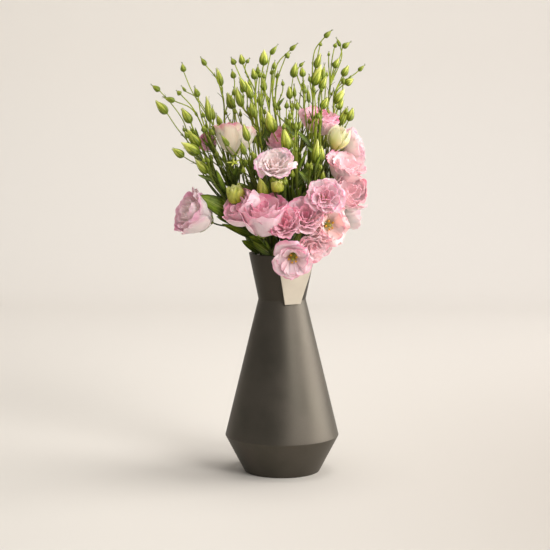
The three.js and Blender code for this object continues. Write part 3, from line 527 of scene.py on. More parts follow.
BLOOMS = [
    Bloom("side_left", Kind.FULL, Tone.PALE, [196, 215], -26, 33, 52, [-0.78, -0.4, 0.4],
        "front_far_left", 238, 0.98, 0.7),
    Bloom("goblet_front", Kind.FULL, Tone.PINK, [263, 218], -74, 34, 58, [-0.02, -0.42, 0.9],
        "near_left", 250, 1.0, 0.5),
    Bloom("pale_left", Kind.BOWL, Tone.PINK, [246, 211], -56, 19, 34, [-0.68, -0.35, 0.62],
        "near_left", 0, 1.5, 0.5),
    Bloom("deep_middle", Kind.DOUBLE, Tone.DEEP, [286, 226], -88, 22, 34, [-0.25, -0.75, 0.6],
        "near_middle", 246, 1.2, 1.4),
    Bloom("inner_right", Kind.DOUBLE, Tone.PINK, [305, 220], -62, 17, 36, [0.05, -0.75, 0.45],
        "near_right", 238, 1.75, 1.4),
    Bloom("swirl_right", Kind.DOUBLE, Tone.PINK, [325, 197], -74, 31, 30, [0.1, -0.9, 0.35],
        "near_right", 0, 0.88, 1.2),
    Bloom("open_right", Kind.OPEN, Tone.PEACH, [329, 225], -56, 29, 28, [0.4, -0.9, 0.05],
        "near_right", 234, 1.08, 2.8),
    Bloom("low_right", Kind.DOUBLE, Tone.ROSE, [312, 243], -62, 22, 32, [0.3, -0.8, -0.4],
        "near_right", 252, 1.25, 1.5),
    Bloom("open_low", Kind.OPEN, Tone.PINK, [293, 258], -92, 30, 28, [-0.05, -0.93, -0.3],
        "near_middle", 252, 1.04, 1.3),
    Bloom("deep_far_right", Kind.BOWL, Tone.ROSE, [350, 193], -12, 27, 34, [0.42, -0.75, 0.5],
        "back_far_right", 208, 1.02, 1.1),
    Bloom("pale_right", Kind.GOBLET, Tone.ROSE, [344, 172], 2, 25, 32, [0.4, -0.42, 0.82],
        "back_far_right", 186, 1.4, 1.0),
    Bloom("pale_back_right", Kind.FULL, Tone.PALE, [352, 147], 45, 23, 36, [0.7, -0.1, 0.32],
        "back_far_right", 176, 1.08, 0.8),
    Bloom("low_back_right", Kind.FULL, Tone.PALE, [347, 214], 42, 19, 34, [0.85, 0.2, 0.1],
        "back_far_right", 222, 1.15, 0.7),
    Bloom("cream_right", Kind.CLOSED, Tone.CREAM, [339, 138], 12, 17, 38, [0.35, -0.15, 0.9],
        "back_far_right", 0, 1.0, 0.5),
    Bloom("top_right", Kind.FULL, Tone.PINK, [319, 123], 40, 27, 36, [0.22, -0.3, 0.92],
        "far_middle", 150, 1.08, 0.8),
    Bloom("centre", Kind.DOUBLE, Tone.PALE, [275, 166], -76, 31, 34, [-0.12, -0.66, 0.72],
        "near_middle", 0, 0.93, 0.85),
    Bloom("cup_left", Kind.FULL, Tone.BLUSH, [235, 138], -15, 31, 50, [0.1, 0.22, 0.95],
        "middle_left", 182, 0.9, 0.9),
    Bloom("mauve_left", Kind.BOWL, Tone.MAUVE, [207, 142], 30, 13, 28, [-0.6, -0.2, 0.75],
        "back_far_left", 176),
    Bloom("pink_behind", Kind.FULL, Tone.PINK, [281, 143], 14, 17, 28, [-0.1, -0.5, 0.85],
        "back_right", 172, 1.45, 0.8),
    Bloom("back_left", Kind.DOUBLE, Tone.PINK, [252, 212], 84, 30, 36, [-0.45, 0.85, 0.2],
        "far_left", 232),
    Bloom("back_right", Kind.DOUBLE, Tone.PINK, [302, 206], 92, 31, 36, [0.35, 0.9, 0.2],
        "far_middle", 232),
    Bloom("back_top", Kind.GOBLET, Tone.PALE, [282, 172], 92, 28, 44, [0.1, 0.8, 0.55],
        "far_left", 196),
]


# Meshes
def tiles(number: Array) -> Array:
    """List the four-sided tiles of a grid of point numbers, four numbers a row."""
    corners = [number[:-1, :-1], number[:-1, 1:], number[1:, 1:], number[1:, :-1]]
    return np.stack(corners, -1).reshape(-1, 4)


class Skin:
    """A mesh in the making, with its marks, its faces' finishes and its own random draws."""

    turned_over = [0, 3, 2, 1]

    def __init__(self, seed: str) -> None:
        """Start with nothing, and with draws that are alike in every run.

        Args:
            seed: Text that sets the draws.
        """
        self.points: list[Array] = []
        self.marks: dict[Mark, list[Array]] = {mark: [] for mark in Mark}
        self.faces: list[list[int]] = []
        self.finishes: list[int] = []
        self.count = 0
        self.draw = np.random.default_rng(crc32(seed.encode())).uniform

    def add(self, points: Array, faces: Array, finish: int, marks: Marks) -> None:
        """Add points and four-sided faces.

        Args:
            points: Points, in an array of any shape that ends in 3.
            faces: Four point numbers a row, counted from the first of these points.
            finish: Place of their material on the piece.
            marks: Values that the points carry.
        """
        for mark in Mark:
            value = np.broadcast_to(np.asarray(marks.get(mark, 0.0), float), points.shape[:-1])
            self.marks[mark].append(value.reshape(-1))
        self.points.append(points.reshape(-1, 3))
        self.faces.extend((faces + self.count).tolist())
        self.finishes.extend([int(finish)] * len(faces))
        self.count += points.size // 3

    def rings(self, rings: Array, finish: int, marks: Marks) -> None:
        """Add a closed skin round rings of points.

        Args:
            rings: Rings from one end to the other, shaped (rings, sides, 3).
            finish: Place of the material.
            marks: Values at the points.
        """
        number = np.arange(rings.size // 3).reshape(rings.shape[:2])
        ends = [number[0, ::-1] + self.count, number[-1] + self.count]
        self.add(rings, tiles(np.hstack([number, number[:, :1]])), finish, marks)
        self.faces.extend(end.tolist() for end in ends)
        self.finishes.extend([int(finish)] * len(ends))

    def sheet(self, grid: Array, thickness: float, finish: int, marks: Marks) -> None:
        """Add a thin closed sheet round a grid of points.

        Args:
            grid: Middle of the sheet, shaped (rows, columns, 3).
            thickness: Distance between its two faces.
            finish: Place of the material.
            marks: Values at the grid's points. The underside is marked as such here.
        """
        normal = unit(np.cross(np.gradient(grid, axis=1), np.gradient(grid, axis=0))) * thickness / 2
        over = np.arange(grid.size // 3).reshape(grid.shape[:2])
        under = over.size
        border = np.concatenate([over[0, :-1], over[:-1, -1], over[-1, :0:-1], over[:0:-1, 0]])
        after = np.roll(border, -1)
        seam = np.stack([after, border, border + under, after + under], -1)
        faces = np.concatenate([tiles(over), tiles(over + under)[:, self.turned_over], seam])
        both = marks | {Mark.UNDER: np.array([0.0, 1.0])[:, None, None]}
        self.add(np.stack([grid + normal, grid - normal]), faces, finish, both)

    def tube(self, line: Array, radii: Array, sides: int, finish: int, marks: Marks) -> None:
        """Add a round skin along a line.

        Args:
            line: Points along the middle.
            radii: Radius at each of them.
            sides: Points round the tube.
            finish: Place of the material.
            marks: Values at the points.
        """
        along = unit(np.gradient(line, axis=0))
        across = Frame.on(line[0], along[0]).across
        rings = []
        for point, way, radius in zip(line, along, radii):
            across = unit(across - way * across.dot(way))
            frame = Frame(point, way, across, np.cross(way, across))
            rings.append(point + radius * frame.spoke(turns(sides)))
        self.rings(np.array(rings), finish, marks)

    def piece(self, name: str, materials: Sequence[Material], crease: float = 50) -> Body:
        """Make the object that all this belongs to.

        Args:
            name: Name of the object.
            materials: Its materials, in the order that the finishes count them.
            crease: Angle in degrees past which an edge stays sharp.

        Returns:
            The object, in the scene.
        """
        mesh = bpy.data.meshes.new(name)
        mesh.from_pydata((np.concatenate(self.points) * METRES).tolist(), [], self.faces)
        for mark in Mark:
            layer = mesh.attributes.new(mark.value, "FLOAT", "POINT")
            layer.data.foreach_set("value", np.concatenate(self.marks[mark]).astype(np.float32))
        for material in materials:
            mesh.materials.append(material)
        mesh.polygons.foreach_set("material_index", self.finishes)
        mesh.polygons.foreach_set("use_smooth", [True] * len(self.faces))
        mesh.set_sharp_from_angle(angle=math.radians(crease))
        mesh.update()
        body = bpy.data.objects.new(name, mesh)
        bpy.context.scene.collection.objects.link(body)
        return body


# Finishes
FLOAT = "NodeSocketFloat"
COLOUR = "NodeSocketColor"
MIX_INPUTS = (0, 6, 7)
MIX_RESULT = 2
MIDDLE_GREYS: Range = (0.3, 0.7)
PETAL_PARTS = ("Throat", "Body", "Margin", "Heart", "Outside")
Inputs = dict[str | int, object]


def ink(colour: Colour) -> tuple[float, ...]:
    """Turn a colour from 0 to 255 a channel into the scene's linear light.

    Args:
        colour: Red, green and blue.

    Returns:
        The same in linear light, and full cover.
    """
    channels = (value / 255 for value in colour)
    linear = (c / 12.92 if c <= 0.04045 else ((c + 0.055) / 1.055) ** 2.4 for c in channels)
    return (*linear, 1.0)


class Graph:
    """A node tree that is built by naming nodes and joining their sockets."""

    def __init__(self, tree: Tree) -> None:
        """Work on a tree."""
        self.tree = tree

    def fill(self, node: Node, inputs: Inputs) -> None:
        """Fill a node's inputs.

        Args:
            node: The node.
            inputs: What its sockets get, by name or number: a value, or a socket to join.
        """
        for socket, value in inputs.items():
            if isinstance(value, Socket):
                self.tree.links.new(value, node.inputs[socket])
            else:
                node.inputs[socket].default_value = value

    def node(self, kind: str, inputs: Inputs, **settings: object) -> Outputs:
        """Add a node.

        Args:
            kind: The node's type.
            inputs: What its sockets get.
            settings: The node's own settings.

        Returns:
            The node's outputs.
        """
        made = self.tree.nodes.new(kind)
        for name, value in settings.items():
            setattr(made, name, value)
        self.fill(made, inputs)
        return made.outputs

    def effect(self, tree: Tree, **inputs: object) -> Outputs:
        """Add a shader group and give its outputs."""
        return self.node("ShaderNodeGroup", inputs, node_tree=tree)

    def mark(self, mark: Mark) -> Socket:
        """Read a value that the mesh carries."""
        return self.node("ShaderNodeAttribute", {}, attribute_name=mark.value)["Fac"]

    def math(self, operation: str, *values: object) -> Socket:
        """Work out one value from others."""
        return self.node("ShaderNodeMath", dict(enumerate(values)), operation=operation)[0]

    def plus(self, first: object, second: object) -> Socket:
        """Add two values."""
        return self.math("ADD", first, second)

    def times(self, first: object, second: object) -> Socket:
        """Multiply two values."""
        return self.math("MULTIPLY", first, second)

    def ramp(self, value: object, start: Range, end: Range = (0, 1)) -> Socket:
        """Carry a value smoothly from one range to another.

        Args:
            value: The value.
            start: The range that it comes from.
            end: The range that it goes to.

        Returns:
            The new value.
        """
        limits = dict(zip(("From Min", "From Max", "To Min", "To Max"), (*start, *end)))
        inputs = {"Value": value, **limits}
        return self.node("ShaderNodeMapRange", inputs, interpolation_type="SMOOTHSTEP")["Result"]

    def around(self, value: object, middle: float, swing: float) -> Socket:
        """Let soft noise swing a value about its middle."""
        return self.ramp(value, MIDDLE_GREYS, (middle - swing, middle + swing))

    def mix(self, share: object, first: object, second: object) -> Socket:
        """Mix two colours by the share of the second."""
        inputs = dict(zip(MIX_INPUTS, (share, first, second)))
        return self.node("ShaderNodeMix", inputs, data_type="RGBA")[MIX_RESULT]

    def space(self) -> Socket:
        """Give the place in the object's own space."""
        return self.node("ShaderNodeTexCoord", {})["Object"]

    def axes(self) -> Outputs:
        """Give that place's three coordinates."""
        return self.node("ShaderNodeSeparateXYZ", {"Vector": self.space()})

    def noise(self, scale: object, detail: float = 2) -> Socket:
        """Add soft noise over the object's own space."""
        inputs = {"Vector": self.space(), "Scale": scale, "Detail": detail}
        return self.node("ShaderNodeTexNoise", inputs)["Fac"]

    def bump(self, height: Socket, strength: float, distance: float) -> Socket:
        """Raise the surface by a height, over a distance in metres."""
        inputs = {"Height": height, "Strength": strength, "Distance": distance}
        return self.node("ShaderNodeBump", inputs)["Normal"]


def group(name: str, inputs: dict[str, str], outputs: dict[str, str]) -> tuple[Graph, Outputs, Node]:
    """Start a shader group.

    Args:
        name: Name of the group.
        inputs: Socket types of its inputs, by name.
        outputs: Socket types of its outputs, by name.

    Returns:
        Its graph, the sockets that its inputs arrive at, and its output node.
    """
    tree = bpy.data.node_groups.new(name, "ShaderNodeTree")
    for way, sockets in (("INPUT", inputs), ("OUTPUT", outputs)):
        for label, kind in sockets.items():
            tree.interface.new_socket(name=label, in_out=way, socket_type=kind)
    graph = Graph(tree)
    return graph, graph.node("NodeGroupInput", {}), tree.nodes.new("NodeGroupOutput")


class Effects:
    """Shader groups that several materials share, each built once.

    A pair of numbers is where a soft step starts and ends, or what it gives at its two ends.
    """

    clouds: Range = (0.35, 0.65)
    cloud_detail: float = 3
    vein_wander: float = 160
    vein_slant: float = 0.6
    vein_line: Range = (0.36, 0.5)
    midrib: Range = (0.02, 0.12)
    petal_clouds: float = 55
    petal_drift: float = 0.5
    throat: Range = (0.04, 0.3)
    margin_end: float = 1.02
    margin_share: Range = (0.45, 1)
    # Where along a petal, and how strongly, the heart colour paints shade deep in the bloom.
    heart: Range = (0.2, 0.8)
    heart_share: Range = (0.4, 0.9)
    outside: Range = (0.3, 0.95)
    outside_share: Range = (0.85, 0.25)

    def __init__(self) -> None:
        """Build the groups."""
        self.mottle = self.build_mottle()
        self.veins = self.build_veins()
        self.blush = self.build_blush()

    def build_mottle(self) -> Tree:
        """Build the uneven colour that every grown or rubbed surface has.

        Returns:
            A group that mixes two colours by soft noise, and gives the noise too.
        """
        inputs = {"First": COLOUR, "Second": COLOUR, "Scale": FLOAT, "Amount": FLOAT}
        graph, start, end = group("mottle", inputs, {"Colour": COLOUR, "Noise": FLOAT})
        noise = graph.noise(start["Scale"], self.cloud_detail)
        share = graph.times(graph.ramp(noise, self.clouds), start["Amount"])
        colour = graph.mix(share, start["First"], start["Second"])
        graph.fill(end, {"Colour": colour, "Noise": noise})
        return graph.tree

    def build_veins(self) -> Tree:
        """Build the veins of a leaf or petal: a midrib and fine lines that run beside it.

        Returns:
            A group that gives a vein mask from the marks along and across.
        """
        graph, start, end = group("veins", {"Count": FLOAT, "Midrib": FLOAT}, {"Mask": FLOAT})
        across = graph.mark(Mark.ACROSS)
        slant = graph.times(graph.mark(Mark.ALONG), self.vein_slant)
        bent = graph.plus(graph.noise(self.vein_wander, detail=1), slant)
        wave = graph.plus(graph.times(across, start["Count"]), bent)
        lines = graph.ramp(graph.math("PINGPONG", wave, 0.5), self.vein_line)
        rib = graph.ramp(graph.math("ABSOLUTE", across), self.midrib, (1, 0))
        mask = graph.math("MAXIMUM", lines, graph.times(rib, start["Midrib"]))
        graph.fill(end, {"Mask": mask})
        return graph.tree

    def build_blush(self) -> Tree:
        """Build a petal's colouring from its foot to its margin.

        Returns:
            A group that gives the colour of a petal.
        """
        inputs = {name: COLOUR for name in PETAL_PARTS} | {"Rim": FLOAT}
        graph, start, end = group("blush", inputs, {"Colour": COLOUR})
        drift = graph.math("SUBTRACT", graph.noise(self.petal_clouds), 0.5)
        along = graph.plus(graph.mark(Mark.ALONG), graph.times(drift, self.petal_drift))
        colour = graph.mix(graph.ramp(along, self.throat), start["Throat"], start["Body"])
        width = graph.math("SUBTRACT", self.margin_end, start["Rim"])
        past = graph.math("DIVIDE", graph.math("SUBTRACT", along, start["Rim"]), width)
        edge = graph.ramp(graph.mark(Mark.TINT), (0, 1), self.margin_share)
        colour = graph.mix(graph.times(graph.ramp(past, (0, 1)), edge), colour, start["Margin"])
        # Painted shade: inner petals take the deeper heart colour, as if shaded deep in the bloom.
        deep = graph.ramp(along, self.heart, self.heart_share)
        colour = graph.mix(graph.times(graph.mark(Mark.DEPTH), deep), colour, start["Heart"])
        back = graph.ramp(along, self.outside, self.outside_share)
        colour = graph.mix(graph.times(graph.mark(Mark.UNDER), back), colour, start["Outside"])
        graph.fill(end, {"Colour": colour})
        return graph.tree



def new_material(name: str) -> tuple[Material, Graph, Node]:
    """Start a material.

    Args:
        name: Its name.

    Returns:
        The material, its graph and its surface shader.
    """
    material = bpy.data.materials.new(name)
    material.use_nodes = True
    return material, Graph(material.node_tree), material.node_tree.nodes["Principled BSDF"]


@dataclass(frozen=True)
class PetalFinish:
    """Colours of one tone of petal: throat, body, margin, outside, and heart for its veins and painted
    shade in the bloom's heart.
    """

    name: str
    throat: Colour
    body: Colour
    margin: Colour
    heart: Colour
    outside: Colour
    rim: float = 0.7
    roughness: float = 0.55
    rough_swing: float = 0.08
    veins: int = 9
    midrib: float = 0.5
    vein_depth: float = 0.16
    dapple: float = 420.0

    def material(self, effects: Effects) -> Material:
        """Build the petal material.

        Args:
            effects: The shared shader groups.

        Returns:
            The material.
        """
        material, graph, shader = new_material(f"petal_{self.name}")
        colours = (self.throat, self.body, self.margin, self.heart, self.outside)
        parts = dict(zip(PETAL_PARTS, map(ink, colours)))
        blush = graph.effect(effects.blush, Rim=self.rim, **parts)["Colour"]
        mask = graph.effect(effects.veins, Count=self.veins, Midrib=self.midrib)["Mask"]
        lined = graph.mix(graph.times(mask, self.vein_depth), blush, ink(self.heart))
        dapple = graph.noise(self.dapple)
        height = graph.plus(graph.times(mask, 0.5), graph.times(dapple, 0.5))
        graph.fill(shader, {
            "Base Color": lined,
            "Roughness": graph.around(dapple, self.roughness, self.rough_swing),
            "Normal": graph.bump(height, strength=0.25, distance=0.0004),
            "Subsurface Weight": 0.75,
            "Subsurface Radius": (1.0, 0.85, 0.8),
            "Subsurface Scale": 0.002,
            "Specular IOR Level": 0.3,
            # Painted glow: a faint emission of the petal colour lifts the shade between petals, standing
            # in for light passing through them.
            "Emission Color": lined,
            "Emission Strength": 0.03,
            "Sheen Weight": 0.08,
            "Sheen Roughness": 0.5,
        })
        return material


@dataclass(frozen=True)
class GreenFinish:
    """Colours of a green part: its foot, its end, its mottling and what else marks it."""

    name: str
    foot: Colour
    end: Colour
    mottling: Colour
    veins: float = 0.0
    vein_colour: Colour = (186, 196, 96)
    vein_share: float = 0.4
    tip: Colour | None = None
    tip_from: Range = (0.72, 0.98)
    edge: Colour | None = None
    edge_from: Range = (0.55, 1.0)
    edge_most: float = 0.75
    climb: Range = (0.05, 0.8)
    tint_share: float = 0.35
    mottle_share: float = 0.45
    roughness: float = 0.43
    rough_swing: float = 0.07
    glow: float = 0.15
    grain: float = 240.0

    def material(self, effects: Effects) -> Material:
        """Build the green material.

        Args:
            effects: The shared shader groups.

        Returns:
            The material.
        """
        material, graph, shader = new_material(self.name)
        shade = ink(self.mottling)
        along = graph.mark(Mark.ALONG)
        colour = graph.mix(graph.ramp(along, self.climb), ink(self.foot), ink(self.end))
        if self.tip:
            colour = graph.mix(graph.ramp(along, self.tip_from), colour, ink(self.tip))
        tint = graph.times(graph.mark(Mark.TINT), self.tint_share)
        mottle = graph.effect(
            effects.mottle, First=graph.mix(tint, colour, shade), Second=shade,
            Scale=self.grain, Amount=self.mottle_share,
        )
        colour, height = mottle["Colour"], mottle["Noise"]
        if self.veins:
            mask = graph.effect(effects.veins, Count=self.veins, Midrib=1)["Mask"]
            colour = graph.mix(graph.times(mask, self.vein_share), colour, ink(self.vein_colour))
            height = graph.plus(height, mask)
        if self.edge:
            across = graph.math("ABSOLUTE", graph.mark(Mark.ACROSS))
            rim = graph.ramp(across, self.edge_from, (0, self.edge_most))
            colour = graph.mix(rim, colour, ink(self.edge))
        graph.fill(shader, {
            "Base Color": colour,
            "Roughness": graph.around(mottle["Noise"], self.roughness, self.rough_swing),
            "Normal": graph.bump(height, strength=0.2, distance=0.0003),
            "Subsurface Weight": self.glow,
            "Subsurface Radius": (0.8, 1.0, 0.3),
            "Subsurface Scale": 0.001,
            "Specular IOR Level": 0.35,
        })
        return material


@dataclass(frozen=True)
class MetalFinish:
    """Colours of a rubbed metal: its ground, its clouds, its rubbed edges, and painted shade on its upper
    part.
    """

    name: str
    ground: Colour
    cloud: Colour
    rubbed: Colour
    metallic: float
    roughness: float
    cloud_size: float
    grain: float
    upper: Colour | None = None
    painted_shade_start: float = 0.0
    painted_shade_blur: float = 0.004
    edges: Range = (0.52, 0.6)
    rub: Range = (0.4, 0.6)
    rub_share: float = 0.5
    cloud_share: float = 0.6
    rough_swing: float = 0.08

    def material(self, effects: Effects) -> Material:
        """Build the metal material.

        Args:
            effects: The shared shader groups.

        Returns:
            The material.
        """
        material, graph, shader = new_material(self.name)
        mottle = graph.effect(
            effects.mottle, First=ink(self.ground), Second=ink(self.cloud),
            Scale=self.cloud_size, Amount=1,
        )
        colour = mottle["Colour"]
        fine = graph.noise(self.grain, detail=3)
        worn = graph.ramp(graph.node("ShaderNodeNewGeometry", {})["Pointiness"], self.edges)
        rubbed = graph.times(graph.times(worn, graph.ramp(fine, self.rub)), self.rub_share)
        # Painted shade: above the start height the metal takes the darker upper colour, standing in for
        # the neck's darker reflection.
        if self.upper:
            start = self.painted_shade_start
            above = graph.ramp(graph.axes()["Z"], (start, start + self.painted_shade_blur))
            colour = graph.mix(above, colour, ink(self.upper))
        coarse = graph.times(mottle["Noise"], self.cloud_share)
        cloudy = graph.plus(coarse, graph.times(fine, 1 - self.cloud_share))
        graph.fill(shader, {
            "Base Color": graph.mix(rubbed, colour, ink(self.rubbed)),
            "Roughness": graph.around(cloudy, self.roughness, self.rough_swing),
            "Normal": graph.bump(fine, strength=0.12, distance=0.0003),
            "Metallic": self.metallic,
            "Specular IOR Level": 0.5,
        })
        return material


PETALS = {
    Tone.PINK: PetalFinish(
        "pink", (214, 196, 84), (249, 216, 221), (234, 130, 166), (238, 158, 180), (248, 208, 214)
    ),
    Tone.PALE: PetalFinish(
        "pale", (250, 244, 206), (249, 231, 226), (228, 152, 186), (248, 222, 220), (248, 222, 222), 0.64
    ),
    Tone.DEEP: PetalFinish(
        "deep", (250, 228, 210), (247, 203, 211), (234, 122, 158), (236, 140, 164), (246, 200, 208)
    ),
    Tone.ROSE: PetalFinish(
        "rose", (250, 228, 210), (249, 218, 219), (238, 148, 170), (246, 192, 202), (250, 216, 218)
    ),
    Tone.PEACH: PetalFinish(
        "peach", (246, 222, 150), (248, 211, 206), (238, 146, 166), (242, 168, 176), (250, 228, 218)
    ),
    Tone.CREAM: PetalFinish(
        "cream", (150, 160, 70), (236, 230, 196), (238, 232, 206), (222, 212, 168), (196, 202, 104)
    ),
    Tone.BLUSH: PetalFinish(
        "blush", (232, 222, 150), (250, 235, 214), (214, 100, 148), (206, 92, 132), (249, 230, 206), 0.78
    ),
    Tone.MAUVE: PetalFinish(
        "mauve", (230, 210, 190), (226, 158, 184), (204, 118, 160), (180, 90, 134), (228, 168, 190)
    ),
}
GREENS = {
    # The stalk's dark foot colour is painted shade low in the bunch; stalks lighten towards their end
    # higher up.
    Green.STALK: GreenFinish("stalk", (44, 60, 3), (174, 188, 44), (52, 68, 8), grain=90),
    Green.BLADE: GreenFinish(
        "blade", (60, 82, 8), (118, 144, 26), (42, 60, 8), veins=3, grain=130, edge=(44, 58, 10)
    ),
    Green.SEPAL: GreenFinish(
        "sepal", (98, 120, 12), (184, 196, 56), (92, 110, 14), veins=1, tip=(120, 118, 72),
        grain=300, edge=(84, 96, 18),
    ),
    Green.COROLLA: GreenFinish(
        "corolla", (172, 186, 36), (228, 230, 122), (192, 202, 70), tip=(240, 236, 172),
        grain=160, glow=0.3, edge=(150, 164, 46),
    ),
}
OVARY = GreenFinish("ovary", (150, 170, 70), (170, 184, 84), (128, 150, 60))
ANTHER = GreenFinish("anther", (222, 190, 96), (232, 178, 48), (206, 140, 34), grain=500)
# The upper colour is painted shade that darkens the vase's neck above the waist, as a darker reflection
# would.
BLACKENED = MetalFinish(
    "blackened_metal", (84, 80, 72), (93, 88, 80), (130, 124, 114), metallic=1.0, roughness=0.5,
    cloud_size=14, grain=700, upper=(72, 68, 61), painted_shade_start=0.275,
)
SATIN = MetalFinish(
    "satin_metal", (210, 201, 184), (202, 193, 176), (226, 218, 204), metallic=0.35,
    roughness=0.42, cloud_size=30, grain=900,
)


@dataclass(frozen=True)
class Piece:
    """How a finished object joins the model: its slot and the solid that it stands for."""

    body: Body
    slot: str
    solid: str

    def join(self) -> None:
        """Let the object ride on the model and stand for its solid."""
        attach(self.body, ROOT)
        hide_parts(self.solid)
        LOG.info("%s: %d faces", self.body.name, len(self.body.data.polygons))


# Vase and its plate
def rounded(outline: Sequence[Place], steps: int = 5) -> Array:
    """Round the corners of an outline.

    Args:
        outline: Two coordinates and a rounding for each corner, from one end to the other.
        steps: Points in each rounding.

    Returns:
        The points of the rounded outline.
    """
    corners = np.array(outline, float)[:, :2]
    points = [corners[0]]
    share = np.linspace(0, 1, steps)[:, None]
    for row, before, corner, after in zip(outline[1:-1], corners, corners[1:], corners[2:]):
        back, on = unit(before - corner), unit(after - corner)
        reach = row[2] / math.tan(math.acos(float(back.dot(on))) / 2)
        start, end = corner + back * reach, corner + on * reach
        points.extend((1 - share) ** 2 * start + 2 * share * (1 - share) * corner + share**2 * end)
    return np.array([*points, corners[-1]])


@dataclass(frozen=True)
class Vase:
    """The turned metal vase: cone foot, shoulder, long cone, waist and flared neck."""

    foot_radius: float = 60.0
    shoulder_radius: float = 90.5
    shoulder_height: float = 58.5
    waist_radius: float = 37.5
    waist_height: float = 277.0
    rim_radius: float = 52.5
    height: float = 350.0
    wall: float = 2.0
    floor: float = 3.0
    foot_inset: float = 1.0
    shoulder_inset: float = 2.3
    foot_rounding: float = 1.6
    shoulder_rounding: float = 2.2
    waist_rounding: float = 3.0
    rim_rounding: float = 0.7
    inner_rounding: float = 2.0
    sides: int = 160
    step: float = 7.0

    def outline(self) -> Array:
        """Draw the profile from the foot, over the rim, to the floor inside.

        Returns:
            Points of radius and height.
        """
        points = rounded([
            (0, 0, 0),
            (self.foot_radius, 0, self.foot_rounding),
            (self.shoulder_radius, self.shoulder_height, self.shoulder_rounding),
            (self.waist_radius, self.waist_height, self.waist_rounding),
            (self.rim_radius, self.height, self.rim_rounding),
            (self.rim_radius - self.wall, self.height, self.rim_rounding),
            (self.waist_radius - self.wall, self.waist_height, self.waist_rounding),
            (self.shoulder_radius - self.shoulder_inset, self.shoulder_height, self.inner_rounding),
            (self.foot_radius - self.foot_inset, self.floor, self.inner_rounding),
            (0, self.floor, 0),
        ])
        filled: list[Array] = []
        for low, high in zip(points[:-1], points[1:]):
            count = max(int(np.linalg.norm(high - low) / self.step), 1)
            filled.extend(low + (high - low) * (np.arange(count) + 1)[:, None] / count)
        return np.array(filled)[:-1]

    def build(self, effects: Effects) -> Piece:
        """Turn the vase and dress it.

        Args:
            effects: The shared shader groups.

        Returns:
            The finished piece.
        """
        radius, height = self.outline().T[:, :, None]
        turn = turns(self.sides)
        rings = np.broadcast_arrays(radius * np.cos(turn), radius * np.sin(turn), height)
        skin = Skin("vase")
        skin.rings(np.stack(rings, axis=-1), 0, {Mark.ALONG: height / self.height})
        body = skin.piece("turned_vase", [BLACKENED.material(effects)], crease=60)
        return Piece(body, "vase_metal", "vase")


@dataclass(frozen=True)
class NeckPlate:
    """The flat plate in front of the neck and the strap that hooks it over the rim."""

    azimuth: float = 24.0
    bottom_width: float = 26.5
    top_width: float = 56.0
    bottom_height: float = 272.0
    top_height: float = 331.0
    thickness: float = 2.0
    strap_start: float = 322.0
    strap_width: float = 20.0
    strap_thickness: float = 1.6
    hook_drop: float = 9.0
    hook_lean: float = 1.4
    hook_room: float = 0.3
    gap: float = 0.35
    slack: float = 0.2
    bevel: float = 0.5
    bevel_steps: int = 3

    def build(self, vase: Vase, effects: Effects) -> Piece:
        """Cut the plate, bend its strap and dress both.

        Args:
            vase: The vase that it hangs on.
            effects: The shared shader groups.

        Returns:
            The finished piece.
        """
        slope = (vase.rim_radius - vase.waist_radius) / (vase.height - vase.waist_height)
        lean = (vase.shoulder_radius - vase.waist_radius) / (vase.waist_height - vase.shoulder_height)
        free = self.gap + self.slack
        seat = vase.waist_radius + (vase.waist_height - self.bottom_height) * lean + free
        out = seat + (self.top_height - self.bottom_height) * slope
        off = unit(np.array([0, -1, slope])) * self.thickness
        low, wide = self.bottom_width / 2, self.top_width / 2
        face = np.array([
            (-low, -seat, self.bottom_height), (low, -seat, self.bottom_height),
            (wide, -out, self.top_height), (-wide, -out, self.top_height),
        ])
        skin = Skin("plate")
        skin.rings(np.stack([face, face + off])[::-1], 0, {})
        skin.rings(self.strap(vase, seat, slope), 0, {})
        body = skin.piece("plate_and_strap", [SATIN.material(effects)], crease=30)
        body.data.transform(Matrix.Rotation(math.radians(self.azimuth), 4, "Z"))
        bevel = body.modifiers.new("soft_edges", "BEVEL")
        bevel.width = self.bevel * METRES
        bevel.segments = self.bevel_steps
        return Piece(apply_modifiers(body), "plate_metal", "neck_plate")

    def strap(self, vase: Vase, seat: float, slope: float) -> Array:
        """Bend the strap over the rim.

        Args:
            vase: The vase that it hooks on.
            seat: How far the plate's foot stands from the axis.
            slope: How far the neck flares for its height.

        Returns:
            The strap's two side faces as rings.
        """
        free = self.gap + self.slack
        half = self.strap_width / 2
        at_rim = seat + (vase.height - self.bottom_height) * slope
        at_start = seat + (self.strap_start - self.bottom_height) * slope + self.slack
        over = vase.height + free
        low = over - self.hook_drop
        inner = math.sqrt((vase.rim_radius - vase.wall) ** 2 - half**2) - free - self.hook_room
        thick = self.strap_thickness
        side = [
            (at_start, self.strap_start), (at_start + thick, self.strap_start),
            (at_rim + thick, over + thick), (inner - thick, over + thick),
            (inner - thick - self.hook_lean, low), (inner - self.hook_lean, low),
            (inner, over), (at_rim, over),
        ]
        return np.array([[(x, -y, z) for y, z in side] for x in (half, -half)])


def apply_modifiers(body: Body) -> Body:
    """Bake an object's modifiers into its mesh.

    Args:
        body: The object.

    Returns:
        The same object, with a plain mesh.
    """
    bpy.context.view_layer.update()
    graph = bpy.context.evaluated_depsgraph_get()
    mesh = bpy.data.meshes.new_from_object(body.evaluated_get(graph))
    body.modifiers.clear()
    body.data = mesh
    return body


